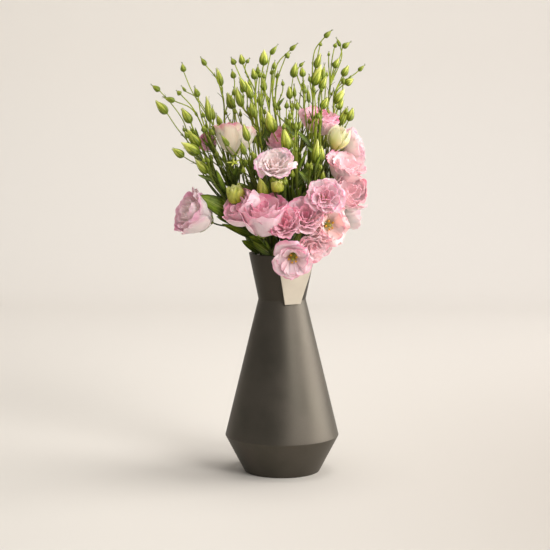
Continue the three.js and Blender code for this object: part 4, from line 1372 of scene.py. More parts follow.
# Green parts
@dataclass(frozen=True)
class StemStyle:
    """Sizes of stems and twigs, and the lines that they follow out of their vase."""

    vase: Vase
    foot_radius: float = 2.5
    rim_radius: float = 2.1
    top_radius: float = 1.1
    twig_root: float = 1.15
    twig_end: float = 0.85
    plan_at_waist: float = 0.68
    straight_to: float = 60.0
    bend_from: float = 20.0
    root_pull: float = 0.4
    end_pull: float = 0.35
    lean_most: float = 5.0
    lean_share: float = 0.5
    bouquet_top: float = 700.0
    sheet_rounds: int = 4
    step: float = 5.0

    def share_up(self, z: float) -> float:
        """Give how far up the bunch a height is, from 0 at the rim to 1 at the top."""
        return (z - self.vase.height) / (self.bouquet_top - self.vase.height)

    def in_sheet(self, row: Spray, at: Place) -> Array:
        """Find a place in the sheet that a spray spreads in, from the rim to the bunch's top.

        Args:
            row: The spray.
            at: Picture place.

        Returns:
            The point.
        """
        y = row.rim[1]
        for _ in range(self.sheet_rounds):
            y = row.rim[1] + (row.top - row.rim[1]) * max(self.share_up(EYE.seen(at, y)[2]), 0)
        return EYE.seen(at, y)

    def leaned(self, row: Spray, at: Place, root: Array) -> Array:
        """Find a place that leans a little out of the spray's sheet.

        Args:
            row: The spray.
            at: Picture place.
            root: Where the twig leaves the stem.

        Returns:
            The point.
        """
        point = self.in_sheet(row, at)
        off = point[0] - root[0]
        point[1] += np.sign(off) * min(self.lean_most, abs(off) * self.lean_share)
        return point

    def knots(self, row: Spray) -> Array:
        """List the points that a main stem passes.

        Args:
            row: The spray.

        Returns:
            The points, from inside the vase to the last place that is seen.
        """
        x, y = row.rim
        waist = (x * self.plan_at_waist, y * self.plan_at_waist)
        return np.array([
            (*waist, self.vase.waist_height - self.straight_to),
            (*waist, self.vase.waist_height - self.bend_from),
            (x, y, self.vase.height),
            *(self.in_sheet(row, at) for at in row.stem),
        ])

    def radius(self, z: Array, top: float) -> Array:
        """Give the radius of a main stem at a height."""
        heights = [0, self.vase.height, top]
        return np.interp(z, heights, [self.foot_radius, self.rim_radius, self.top_radius])

    def twig(
        self, root: Array, along: Array, end: Array, axis: Array, via: Sequence[Array] = ()
    ) -> Array:
        """Draw the line of a twig.

        Args:
            root: Where it leaves the stem.
            along: The stem's direction there.
            end: Where it ends.
            axis: Direction of what it carries.
            via: Places that it passes.

        Returns:
            Points along the twig.
        """
        if via:
            return even_line(np.array([root, *via, end]), self.step)
        reach = np.linalg.norm(end - root)
        t = np.linspace(0, 1, max(int(reach / self.step), 4) + 1)[:, None]
        near = root + along * reach * self.root_pull
        far = end - axis * reach * self.end_pull
        return root * (1 - t) ** 3 + near * 3 * t * (1 - t) ** 2 + far * 3 * t**2 * (1 - t) + end * t**3


@dataclass(frozen=True)
class LeafStyle:
    """How leaves, bracts and thin sepals are shaped."""

    fullness: float = 1.95
    foot_start: float = 0.03
    foot_power: float = 0.5
    tip_end: float = 1.002
    tip_power: float = 0.68
    thickness: float = 0.5
    thinness: float = 0.12
    keel: float = 0.22
    keel_power: float = 1.5
    bend: float = 0.16
    wave: float = 0.03
    waves: Range = (7, 11)
    twist: float = 0.35
    rows: int = 9
    columns: int = 5

    def outline(self, share: Array) -> Array:
        """Give a leaf's half width along it, as a share of its broadest."""
        foot = (share + self.foot_start) ** self.foot_power
        return self.fullness * foot * np.maximum(self.tip_end - share, 0) ** self.tip_power

    def add(
        self, skin: Skin, finish: Green, foot: Array, heading: Array, face: Array, bend: Array,
        length: float, width: float,
    ) -> None:
        """Add one leaf.

        Args:
            skin: The mesh in the making.
            finish: Its material.
            foot: Where it joins its stem.
            heading: Its direction.
            face: The way its upper side looks.
            bend: Direction that its tip bends to.
            length: Its length.
            width: Its width.
        """
        face = unit(face - heading * face.dot(heading))
        broad = unit(np.cross(heading, face))
        share, across = lattice(self.rows, self.columns)
        half = width / 2 * self.outline(share)
        phase = skin.draw(0, FULL_TURN)
        wave = np.sin(share * skin.draw(*self.waves) + phase + across) * np.abs(across)
        sink = -half * self.keel * (1 - np.abs(across) ** self.keel_power) + self.wave * width * wave
        twist = skin.draw(-self.twist, self.twist) * share
        side = half * across
        middle = foot + heading * (length * share)[..., None]
        bent = middle + bend * (length * self.bend * share**2)[..., None]
        lift = sink + side * np.sin(twist)
        grid = bent + broad * (side * np.cos(twist))[..., None] + face * lift[..., None]
        marks = {Mark.ALONG: share, Mark.ACROSS: across, Mark.TINT: skin.draw(0, 1)}
        skin.sheet(grid, min(self.thickness, width * self.thinness), finish, marks)


@dataclass(frozen=True)
class BudForm:
    """Shares of a bud: where its corolla, its sepals' cover and their tips end, and their set."""

    body: float
    cover: float
    top: float
    sepal_turn: float
    narrowing: float
    lean: Range


@dataclass(frozen=True)
class BudStyle:
    """How closed buds are shaped: a twisted corolla in five keeled sepals with thin tips."""

    closed: BudForm = BudForm(0.8, 0.98, 1.0, 38, 2.2, (0.1, 0.5))
    filling: BudForm = BudForm(0.9, 0.8, 0.88, 33, 1.4, (0.1, 0.6))
    opening: BudForm = BudForm(0.96, 0.62, 0.7552, 33, 1.4, (0.1, 0.6))
    small: float = 9.0
    large: float = 13.5
    rows: Pair = (9, 13)
    sides: Pair = (12, 16)
    sepal_rows: Pair = (10, 12)
    sepal_columns: Pair = (3, 5)
    ends: Range = (0.004, 0.996)
    slim_powers: Range = (0.62, 0.9)
    plump_powers: Range = (0.85, 0.5)
    corolla_start: float = 0.01
    parts: int = 5
    twist: float = 1.3
    lobes: float = 0.07
    corolla_fit: float = 0.93
    sepal_fit: float = 1.03
    sepal_thickness: float = 0.35
    keel: float = 0.05
    sepal_lengths: Range = (0.92, 1.0)
    awn: float = 0.32
    awn_taper: float = 0.6
    awn_reach: float = 0.5
    sway: float = 0.5
    sway_start: float = 0.7
    swell: float = 1.1
    unfurled: int = 7
    unfurled_lattice: Pair = (10, 15)
    unfurled_thickness: float = 0.4
    unfurled_turn: float = 52.0
    unfurled_foot: float = 0.2
    unfurled_rounding: float = 0.22
    unfurled_lengths: Range = (0.85, 1.0)
    unfurled_girth: float = 0.55
    unfurled_bulge: float = 0.5
    unfurled_power: float = 0.8
    unfurled_ruffle: float = 0.1
    unfurled_ruffle_start: float = 0.4
    unfurled_waves: float = 4
    unfurled_veins: float = 0.8

    def girth(self, share: Array, plump: bool) -> Array:
        """Give the bud's half width along it, as a share of its fullest."""
        lower, blunt = self.plump_powers if plump else self.slim_powers
        return np.sin(math.pi * np.clip(share, *self.ends) ** lower) ** blunt

    def add(self, skin: Skin, base: Array, tip: Array, girth: float, plump: bool = False) -> None:
        """Add one bud.

        Args:
            skin: The mesh in the making.
            base: Where it sits on its twig.
            tip: Its point.
            girth: Its width.
            plump: Whether it is about to open.
        """
        girth = girth * self.swell
        length = float(np.linalg.norm(tip - base))
        frame = Frame.on(base, unit(tip - base))
        roll = skin.draw(0, FULL_TURN)
        tint = skin.draw(0, 1)
        fine = int(girth > self.small)
        form = (self.opening if girth > self.large else self.filling) if fine else self.closed
        share = np.linspace(self.corolla_start, 1, self.rows[fine])[:, None]
        turn = turns(self.sides[fine])[None, :]
        fold = self.parts * (turn + self.twist * share)
        radius = girth / 2 * self.girth(share, plump) * (1 + self.lobes * np.cos(fold))
        rings = frame.place(radius * self.corolla_fit, length * (share * form.body), turn + roll)
        marks = {Mark.ALONG: share, Mark.ACROSS: (fold / math.pi) % 2 - 1, Mark.TINT: tint}
        skin.rings(rings, Green.COROLLA, marks)
        rows, columns = lattice(self.sepal_rows[fine], self.sepal_columns[fine])
        covered = form.cover * form.body
        for sepal in range(self.parts):
            at = rows * (form.top * skin.draw(*self.sepal_lengths))
            close = np.clip(at / covered, 0, 1)
            wide = np.radians(form.sepal_turn) * (1 - close**form.narrowing)
            hug = girth / 2 * self.girth(np.clip(at / form.body, 0, 1), plump) * self.sepal_fit
            past = np.clip(at - covered, 0, 1) * length * skin.draw(*form.lean)
            keel = self.keel * girth * (1 - np.abs(columns)) * (1 - close)
            out = np.maximum(hug, self.sepal_thickness) + keel + past
            awn = self.awn * (1 - self.awn_taper * rows) / np.maximum(out, self.awn_reach)
            sway = skin.draw(-self.sway, self.sway) * ease(self.sway_start, 1, rows)
            spread = roll + FULL_TURN * sepal / self.parts + (wide + awn) * columns + sway
            marks = {Mark.ALONG: rows, Mark.ACROSS: columns, Mark.TINT: tint}
            skin.sheet(frame.place(out, length * at, spread), self.sepal_thickness, Green.SEPAL, marks)
        if plump:
            self.unfurl(skin, frame, length, girth, roll)

    def unfurl(self, skin: Skin, frame: Frame, length: float, girth: float, roll: float) -> None:
        """Add the first petals that spread round an opening bud.

        Args:
            skin: The mesh in the making.
            frame: The bud's frame.
            length: Its length.
            girth: Its width.
            roll: How far it is turned about its axis.
        """
        rows, columns = lattice(*self.unfurled_lattice)
        foot = self.unfurled_foot
        marks = {Mark.ALONG: rows, Mark.ACROSS: columns * self.unfurled_veins, Mark.TINT: 1.0}
        width = np.sin(math.pi * (foot + (1 - 2 * foot) * rows))
        spread = np.radians(self.unfurled_turn) * columns * width
        rounded_off = 1 - self.unfurled_rounding * columns**2
        ruffle = self.unfurled_ruffle * girth * ease(self.unfurled_ruffle_start, 1, rows)
        for petal in range(self.unfurled):
            at = (foot + (1 - foot) * rows * rounded_off) * skin.draw(*self.unfurled_lengths)
            wave = np.sin(self.unfurled_waves * columns + skin.draw(0, FULL_TURN))
            bulge = self.unfurled_bulge * np.sin(math.pi * at**self.unfurled_power)
            out = girth / 2 * (self.unfurled_girth + bulge) + ruffle * wave
            grid = frame.place(out, length * at, roll + petal * SPIRAL_TURN + spread)
            skin.sheet(grid, self.unfurled_thickness, Green.COROLLA, marks)


@dataclass(frozen=True)
class Burden:
    """What a spray carries: its fork, where and how it sits, and the work that adds it."""

    fork: float
    base: Array
    axis: Array
    finish: Callable[[Skin], None]
    girth: float = 1.0
    via: Sequence[Array] = ()


@dataclass(frozen=True)
class SprayMaker:
    """Builds a green spray: stem, twigs, leaves, bracts, buds and receptacles."""

    stems: StemStyle
    leaves: LeafStyle = LeafStyle()
    buds: BudStyle = BudStyle()
    foot_gap: float = 0.35
    overlap: float = 0.8
    foot_points: int = 8
    stem_sides: int = 8
    twig_sides: int = 6
    swelling: float = 0.4
    swelling_reach: float = 2.5
    pedicel: float = 1.5
    # Height above the rim over which stalks climb out of their painted shade, and the curve of that climb.
    painted_shade_climb: float = 270.0
    painted_shade_power: float = 1.5
    receptacle_heights: Place = (0, 1.6, 3, 4.2, 5.7)
    receptacle_radii: Place = (0.8, 1.2, 2.4, 3.3, 3.5)
    receptacle_gap: float = 0.25
    receptacle_rings: int = 9
    receptacle_sides: int = 14
    ovary_length: float = 6.0
    ovary_radii: Place = (0.8, 1.6, 2, 2, 1.7, 1.2, 0.5)
    star_axis: Place = (-0.1, -0.75, 0.65)
    star_sepal_width: float = 3.0
    star_sepals: int = 5
    star_sway: float = 0.2
    star_lift: Range = (0.1, 0.5)
    star_lengths: Range = (0.8, 1.1)
    ovary_sides: int = 10
    leaf_back: float = 0.35
    leaf_drop: float = 0.5
    leaf_rise: float = 0.95
    leaf_reach: float = 0.75
    leaf_face: Place = (-0.2, -1.0, 0.35)
    pair_start: float = 6.0
    pair_end: float = 8.0
    pair_spacing: float = 24.0
    pair_thinning: float = 5.0
    pair_spacing_draw: Range = (0.85, 1.2)
    pair_length_draw: Range = (0.8, 1.15)
    pair_width_draw: Range = (0.85, 1.15)
    pair_turn_draw: Range = (-0.3, 0.3)
    pair_lean: Range = (0.1, 0.36)
    pair_face: float = 0.6
    pair_heights: Place = (0, 0.35, 0.6, 1)
    pair_lengths: Place = (44, 36, 18, 9)
    pair_widths: Place = (13, 8, 3, 1.8)
    fork_heights: Place = (0, 0.5, 1)
    fork_lengths: Place = (24, 14, 8)
    fork_length_draw: Range = (0.8, 1.2)
    fork_lean: Range = (0.55, 0.95)
    fork_face: float = 0.5
    fork_slimness: float = 0.24
    bract_shares: Range = (0.55, 0.9)
    bract_size: Range = (5, 9)
    bract_slimness: float = 0.22
    bract_spacing: float = 60.0
    shoots: int = 8
    shoot_start: Range = (10, 20)
    shoot_free: float = 160.0
    shoot_top: float = 15.0
    shoot_spread: Range = (14, 16)
    shoot_spread_climb: float = 120.0
    shoot_lean: float = 0.3
    shoot_climb: Range = (90, 200)
    shoot_climb_least: float = 35.0
    shoot_bud: Range = (9, 16)
    shoot_girth: Range = (0.36, 0.46)
    shoot_thickness: float = 1.4

    def build(self, row: Spray, blooms: Sequence[Bloom], greens: Sequence[Material]) -> Piece:
        """Build one spray.

        Args:
            row: Its layout.
            blooms: All blooms, of which it carries some.
            greens: The green materials, in their order.

        Returns:
            The finished piece.
        """
        skin = Skin(row.name)
        knots = self.stems.knots(row)
        carried = self.burdens(row, blooms, knots)
        end = next(item for item in carried if item.fork == 0)
        upper = even_line(np.vstack([knots, end.base]), self.stems.step)
        forks = []
        for item in carried:
            if item.fork:
                root, along = point_and_way(upper, EYE.nearest(upper, item.fork))
                forks.append((root, along, item.base))
                self.add_twig(skin, root, along, item)
            item.finish(skin)
        foot = np.array([*knots[0, :2], self.stems.vase.floor + self.foot_gap])
        lower = np.linspace(foot, upper[0], self.foot_points)[:-1]
        line = np.vstack([lower, upper, upper[-1] + end.axis * self.overlap])
        radii = self.stems.radius(line[:, 2], end.base[2])
        for root, _, _ in forks:
            off = np.linalg.norm(line - root, axis=1) / self.swelling_reach
            radii = radii * (1 + self.swelling * np.exp(-(off**2)))
        self.stalk(skin, line, radii, self.stem_sides)
        for spec in row.leaves:
            self.big_leaf(skin, upper, spec)
        self.side_shoots(skin, upper)
        self.leaf_pairs(skin, upper)
        self.fork_leaves(skin, forks)
        body = skin.piece(f"green_{row.name}", greens)
        return Piece(body, "stems_and_buds", f"spray_{row.name}")

    def burdens(self, row: Spray, blooms: Sequence[Bloom], knots: Array) -> list[Burden]:
        """List what a spray carries.

        Args:
            row: The spray.
            blooms: All blooms.
            knots: Points of its main stem.

        Returns:
            Its blooms' receptacles, its buds and its star.
        """
        found = []
        for flower in blooms:
            if flower.carrier == row.name:
                frame = flower.frame()
                reach = self.receptacle_heights[-1] + self.receptacle_gap
                base = frame.foot - frame.axis * reach
                work = partial(self.add_receptacle, base, frame.axis)
                found.append(Burden(flower.fork, base, frame.axis, work, self.pedicel))
        stem = spline(knots, np.linspace(0, 1, 201))
        for spec in row.buds:
            seat = self.stems.in_sheet(row, spec.base)
            root = stem[EYE.nearest(stem, spec.fork)] if spec.fork else seat
            base = self.stems.leaned(row, spec.base, root)
            tip = base + self.stems.in_sheet(row, spec.tip) - seat
            via = [self.stems.leaned(row, at, root) for at in spec.via]
            work = partial(self.buds.add, base=base, tip=tip, girth=spec.girth, plump=spec.plump)
            found.append(Burden(spec.fork, base, unit(tip - base), work, via=via))
        if row.star:
            base = self.stems.leaned(row, row.star.base, self.stems.in_sheet(row, row.star.base))
            axis = unit(np.array(self.star_axis))
            work = partial(self.add_star, base, axis, row.star.girth)
            found.append(Burden(row.star.fork, base, axis, work))
        return found

    def stalk(self, skin: Skin, line: Array, radii: Array, sides: int) -> None:
        """Add the skin of a stem or twig, painted darker low in the bunch as shade where the stems crowd.

        Args:
            skin: The mesh in the making.
            line: Its line.
            radii: Its radius at each point.
            sides: Points round it.
        """
        # Painted shade: the stalk colour runs from its dark foot at the rim to its light end higher up.
        climb = np.clip((line[:, 2:] - self.stems.vase.height) / self.painted_shade_climb, 0, 1)
        marks = {Mark.ALONG: climb**self.painted_shade_power, Mark.TINT: skin.draw(0, 1)}
        skin.tube(line, radii, sides, Green.STALK, marks)

    def add_twig(self, skin: Skin, root: Array, along: Array, item: Burden) -> None:
        """Add the twig that holds a burden, with pairs of small bracts where it is long.

        Args:
            skin: The mesh in the making.
            root: Where it leaves the stem.
            along: The stem's direction there.
            item: The burden.
        """
        twig = self.stems.twig(root, along, item.base, item.axis, item.via)
        twig = np.vstack([twig, twig[-1] + item.axis * self.overlap])
        radii = np.linspace(self.stems.twig_root, self.stems.twig_end, len(twig)) * item.girth
        self.stalk(skin, twig, radii, self.twig_sides)
        length = max(run_of(twig)[-1], self.bract_spacing)
        for share in np.arange(*self.bract_shares, self.bract_spacing / length):
            foot, way = point_and_way(twig, int(share * len(twig)))
            size = skin.draw(*self.bract_size)
            self.pair(skin, foot, way, skin.draw(0, math.pi), size, size * self.bract_slimness)

    def add_star(self, base: Array, axis: Array, size: float, skin: Skin) -> None:
        """Add an empty calyx: thin sepals spread in a star round a small ovary.

        Args:
            base: Its foot.
            axis: Its axis.
            size: Length of its sepals.
            skin: The mesh in the making.
        """
        frame = Frame.on(base, axis)
        heights = np.linspace(0, self.ovary_length, len(self.ovary_radii))[:, None]
        marks = {Mark.ALONG: 0.6}
        line, radii = base + axis * heights, np.array(self.ovary_radii)
        skin.tube(line, radii, self.ovary_sides, Green.COROLLA, marks)
        for sepal in range(self.star_sepals):
            sway = skin.draw(-self.star_sway, self.star_sway)
            spoke = frame.spoke(FULL_TURN * sepal / self.star_sepals + sway)
            heading = unit(spoke + axis * skin.draw(*self.star_lift))
            length = size * skin.draw(*self.star_lengths)
            self.leaves.add(
                skin, Green.COROLLA, base + axis, heading, axis, -axis, length, self.star_sepal_width
            )

    def add_receptacle(self, base: Array, axis: Array, skin: Skin) -> None:
        """Add the swollen end of a stalk that a bloom sits on.

        Args:
            base: Its foot.
            axis: Its axis.
            skin: The mesh in the making.
        """
        places = np.linspace(0, 1, len(self.receptacle_heights))
        share = np.linspace(0, 1, self.receptacle_rings)
        rises = np.interp(share, places, self.receptacle_heights)
        radii = np.interp(share, places, self.receptacle_radii)
        marks = {Mark.ALONG: 0.2, Mark.TINT: 0.5}
        line = base + axis * rises[:, None]
        skin.tube(line, radii, self.receptacle_sides, Green.SEPAL, marks)

    def big_leaf(self, skin: Skin, upper: Array, spec: Leaf) -> None:
        """Add a large leaf where the layout has one.

        Args:
            skin: The mesh in the making.
            upper: The main stem's line.
            spec: The leaf's layout.
        """
        foot, along = point_and_way(upper, EYE.nearest(upper, spec.at))
        side, drop = spec.side, -spec.droop * self.leaf_drop
        outward = unit(np.array([side, side * self.leaf_back, drop]))
        heading = unit(along * (self.leaf_rise - spec.droop) + outward * self.leaf_reach)
        face = np.array(self.leaf_face) * (side, 1, 1)
        self.leaves.add(skin, Green.BLADE, foot, heading, face, outward, spec.length, spec.width)

    def leaf_pairs(self, skin: Skin, upper: Array) -> None:
        """Add the opposite leaves of the stem, large low down and small bracts high up.

        Args:
            skin: The mesh in the making.
            upper: The main stem's line.
        """
        run = run_of(upper)
        turn = skin.draw(0, math.pi)
        at = float(np.interp(self.stems.vase.height + self.pair_start, upper[:, 2], run))
        while at < run[-1] - self.pair_end:
            foot, along = point_and_way(upper, int(np.searchsorted(run, at)))
            height = self.stems.share_up(foot[2])
            length = float(np.interp(height, self.pair_heights, self.pair_lengths))
            width = float(np.interp(height, self.pair_heights, self.pair_widths))
            length *= skin.draw(*self.pair_length_draw)
            width *= skin.draw(*self.pair_width_draw)
            self.pair(skin, foot, along, turn, length, width)
            turn += math.pi / 2 + skin.draw(*self.pair_turn_draw)
            gap = self.pair_spacing * (1 + self.pair_thinning * height)
            at += gap * skin.draw(*self.pair_spacing_draw)

    def fork_leaves(self, skin: Skin, forks: Sequence[tuple[Array, Array, Array]]) -> None:
        """Add the leaf under each twig.

        Args:
            skin: The mesh in the making.
            forks: Root, direction of the stem and end of each twig.
        """
        for root, along, end in forks:
            outward = unit((end - root) - along * along.dot(end - root))
            height = self.stems.share_up(root[2])
            length = float(np.interp(height, self.fork_heights, self.fork_lengths))
            length *= skin.draw(*self.fork_length_draw)
            heading = unit(along + outward * skin.draw(*self.fork_lean))
            face = along - heading * self.fork_face
            width = length * self.fork_slimness
            self.leaves.add(skin, Green.BLADE, root, heading, face, outward, length, width)

    def side_shoots(self, skin: Skin, upper: Array) -> None:
        """Add thin side shoots that run up beside the stem and end in tiny buds.

        Args:
            skin: The mesh in the making.
            upper: The main stem's line.
        """
        heights = upper[:, 2]
        first, last = (self.stems.vase.height + rise for rise in self.shoot_start)
        lean = self.shoot_lean
        for _ in range(self.shoots):
            low = skin.draw(first, max(last, heights[-1] - self.shoot_free))
            root, along = point_and_way(upper, int(np.searchsorted(heights, low)))
            climb = min(skin.draw(*self.shoot_climb), heights[-1] - low - self.shoot_top)
            if climb < self.shoot_climb_least:
                continue
            guide = upper[min(int(np.searchsorted(heights, low + climb)), len(upper) - 1)]
            off = [skin.draw(-spread, spread) for spread in self.shoot_spread]
            end = guide + np.array([*off, 0]) * climb / self.shoot_spread_climb
            axis = unit(along + [skin.draw(-lean, lean), skin.draw(-lean, lean), lean])
            twig = self.stems.twig(root, along, end, axis)
            thick = self.stems.twig_root * self.shoot_thickness
            self.stalk(skin, twig, np.linspace(thick, self.stems.twig_end, len(twig)), self.twig_sides)
            size = skin.draw(*self.shoot_bud)
            self.buds.add(skin, end, end + axis * size, size * skin.draw(*self.shoot_girth))

    def pair(
        self, skin: Skin, foot: Array, along: Array, turn: float, length: float, width: float
    ) -> None:
        """Add two opposite leaves.

        Args:
            skin: The mesh in the making.
            foot: Where they join the stem.
            along: The stem's direction.
            turn: How far they are turned about it.
            length: Their length.
            width: Their width.
        """
        frame = Frame.on(foot, along)
        for side in (0, math.pi):
            outward = frame.spoke(turn + side)
            heading = unit(along + outward * skin.draw(*self.pair_lean))
            face = along * self.pair_face - outward
            self.leaves.add(skin, Green.BLADE, foot, heading, face, outward, length, width)


# Blooms
Section = tuple[float, float, float]
Stage = tuple[Section, Section, Section]


@dataclass(frozen=True)
class Opening:
    """How far a bloom of one kind has opened.

    A stage is one petal's three sections from foot to tip, each with its reach, its rise and its
    half angle, as shares of the bloom. The stages run from the heart of the bloom to its rim.
    """

    petals: int
    stages: tuple[Stage, ...]
    ruffle: Range = (0.045, 0.085)
    cup: float = 0.05


OPENINGS = {
    Kind.DOUBLE: Opening(18, (
        ((0.1, 0.5, 80), (0.15, 0.78, 85), (0.17, 0.9, 70)),
        ((0.3, 0.6, 52), (0.44, 0.88, 56), (0.5, 0.98, 50)),
        ((0.46, 0.56, 44), (0.72, 0.86, 50), (0.84, 0.97, 46)),
        ((0.46, 0.42, 38), (0.9, 0.74, 48), (1.08, 0.86, 46)),
    )),
    Kind.FULL: Opening(18, (
        ((0.1, 0.5, 80), (0.16, 0.84, 84), (0.18, 0.98, 70)),
        ((0.34, 0.46, 52), (0.44, 0.84, 56), (0.52, 1.02, 50)),
        ((0.54, 0.34, 46), (0.76, 0.72, 52), (0.86, 1.0, 48)),
        ((0.62, 0.24, 42), (0.94, 0.58, 50), (1.1, 0.93, 47)),
    )),
    Kind.GOBLET: Opening(14, (
        ((0.14, 0.46, 70), (0.19, 0.72, 70), (0.21, 0.82, 60)),
        ((0.34, 0.5, 52), (0.46, 0.8, 54), (0.52, 0.94, 48)),
        ((0.5, 0.42, 42), (0.68, 0.8, 50), (0.82, 1.0, 46)),
        ((0.56, 0.3, 38), (0.82, 0.72, 48), (1.08, 1.0, 46)),
    )),
    Kind.BOWL: Opening(14, (
        ((0.12, 0.46, 74), (0.17, 0.72, 74), (0.2, 0.84, 64)),
        ((0.36, 0.44, 54), (0.5, 0.8, 58), (0.52, 0.94, 52)),
        ((0.6, 0.34, 48), (0.82, 0.7, 56), (0.84, 0.98, 50)),
        ((0.74, 0.2, 46), (1.04, 0.56, 56), (1.02, 1.0, 52)),
    ), ruffle=(0.04, 0.07)),
    Kind.CLOSED: Opening(8, (
        ((0.3, 0.4, 60), (0.36, 0.7, 60), (0.16, 0.96, 40)),
        ((0.76, 0.26, 60), (1.0, 0.58, 62), (0.66, 1.02, 50)),
    ), ruffle=(0.02, 0.05)),
    Kind.OPEN: Opening(10, (
        ((0.34, 0.62, 62), (0.56, 0.96, 58), (0.64, 1.04, 46)),
        ((0.36, 0.56, 60), (0.68, 0.92, 58), (0.84, 1.02, 48)),
        ((0.4, 0.48, 58), (0.84, 0.84, 56), (1.1, 0.88, 48)),
    ), cup=0.02),
}


@dataclass(frozen=True)
class BloomMaker:
    """Builds a bloom: a spiral of ruffled petals and the sepals under them."""

    blooms: tuple[Bloom, ...]
    rows: int = 11
    columns: int = 25
    petal_thickness: float = 0.5
    hub_radius: float = 3.6
    hub_height: float = 1.0
    hub_turn: float = 38.0
    row_power: float = 0.9
    rounding: float = 0.3
    rounding_power: float = 2.4
    rounding_draw: Range = (0.75, 1.2)
    rounding_share: float = 0.6
    notches: Sequence[Range] = ((0.02, 5), (0.012, 13))
    reach_draw: Range = (0.93, 1.05)
    rise_draw: Range = (0.95, 1.03)
    margin: Section = (0.3, 3, 0.5)
    rim: Section = (0.72, 4, 0.3)
    ruffles: Sequence[Section] = ((1, 0.9, 1.6), (0.6, 2.6, 3.8), (0.36, 5, 6.5))
    nod: float = 0.5
    slope_step: float = 0.02
    heart_shade: float = 0.25
    heart_power: float = 1.5
    turn_draw: Range = (-0.12, 0.12)
    tuck: float = 0.1
    curl: float = 0.06
    waver: float = 0.02
    nod_waves: float = 2.3
    crowding_start: float = 0.82
    crowding_margin: float = -9.0
    gather: float = 1.6
    sepals: int = 5
    sepal_lattice: Pair = (10, 5)
    sepal_reach: Range = (0.36, 0.5)
    sepal_gap: float = 1.2
    sepal_flare: float = 2.0
    sepal_flare_draw: Range = (0.2, 1.4)
    sepal_power: float = 0.7
    sepal_sway: float = 0.15
    sepal_least: float = 2.0
    sepal_thickness: float = 0.4
    sepal_half: float = 1.9
    sepal_tip: float = 0.15
    sepal_drop: float = 1.2

    def crowd(self, points: Array, row: Bloom) -> Array:
        """Draw points back from the planes that part a bloom from its neighbours.

        Args:
            points: Points of the bloom.
            row: Its layout.

        Returns:
            The points, which no longer reach those planes.
        """
        middle = row.middle()
        for other in self.blooms:
            gap = other.middle() - middle
            distance = float(np.linalg.norm(gap))
            if other is row or distance > row.radius + other.radius:
                continue
            way = gap / distance
            half = distance * row.radius / (row.radius + other.radius) - self.crowding_margin
            start = half * self.crowding_start
            room = half - start
            reach = (points - middle) @ way
            kept = start + room * (1 - np.exp(-(reach - start) / room))
            points = points + way * np.where(reach > start, kept - reach, 0)[..., None]
        return points

    def add_petal(self, skin: Skin, row: Bloom, share: float, azimuth: float) -> None:
        """Add one petal.

        Args:
            skin: The mesh in the making.
            row: The bloom's layout.
            share: Its place between the heart, 0, and the rim, 1.
            azimuth: Its turn round the bloom.
        """
        opening = OPENINGS[row.kind]
        draw = skin.draw
        up, across = lattice(self.rows, self.columns)
        up = up**self.row_power
        wide = np.abs(across)
        stages = np.array(opening.stages).reshape(len(opening.stages), -1)
        first = (self.hub_radius / row.radius, self.hub_height / row.length, self.hub_turn)
        knots = np.array([first, *glide(stages, np.array(share)).reshape(3, 3)])
        round_off = self.rounding * draw(*self.rounding_draw) * wide**self.rounding_power
        notch = sum(deep * np.sin(waves * across + draw(0, 6)) for deep, waves in self.notches)
        t = up * (1 - round_off + notch)
        reach, climb, turn = np.moveaxis(glide(knots, t), -1, 0)
        ahead, behind = (glide(knots, t + step) for step in (self.slope_step, -self.slope_step))
        slope = unit((ahead - behind)[..., :2] * (row.radius, row.length))
        out = reach * row.radius * row.fullness * draw(*self.reach_draw)
        rise = climb * row.length * row.fullness**0.5 * draw(*self.rise_draw)
        margin, rim = (
            ease(start, 1, np.maximum(up, wide**side * up**height))
            for start, side, height in (self.margin, self.rim)
        )
        swing = draw(0, FULL_TURN, 4)
        low, high = opening.ruffle
        ruffle = row.ruffle * row.radius * (low + (high - low) * share)
        off = 0
        for (size, few, many), edge, start in zip(self.ruffles, (margin, rim, rim), swing):
            wave = np.sin(across * math.pi * draw(few, many) + start)
            off = off + size * ruffle * edge * wave
        cup = opening.cup * row.radius * (1 - across**2)
        off = off + cup * np.sin(math.pi * np.clip(t, 0, 1))
        off = off + self.tuck * across * out * ease(0, 0.5, t)
        off = off + self.curl * share * row.radius * ease(0.7, 1, up) ** 2 * draw(0, 2)
        off = off + self.waver * row.radius * np.sin(3 * t + swing[2])
        nod = self.nod * ruffle * rim * np.sin(across * math.pi * self.nod_waves + swing[3])
        out = out + slope[..., 1] * off
        rise = rise - slope[..., 0] * off + nod
        grid = row.frame().place(out, rise, azimuth + np.radians(turn) * across)
        inner = 1 - share
        # Inner petals get the painted-shade mark that deepens them to the heart colour.
        shaded = inner**self.heart_power if row.kind is not Kind.OPEN else self.heart_shade * inner
        marks = {
            Mark.ALONG: t / (1 - round_off * self.rounding_share),
            Mark.ACROSS: across,
            Mark.TINT: draw(0, 1),
            Mark.DEPTH: shaded,
        }
        skin.sheet(self.crowd(grid, row)[:, ::-1], self.petal_thickness, 0, marks)

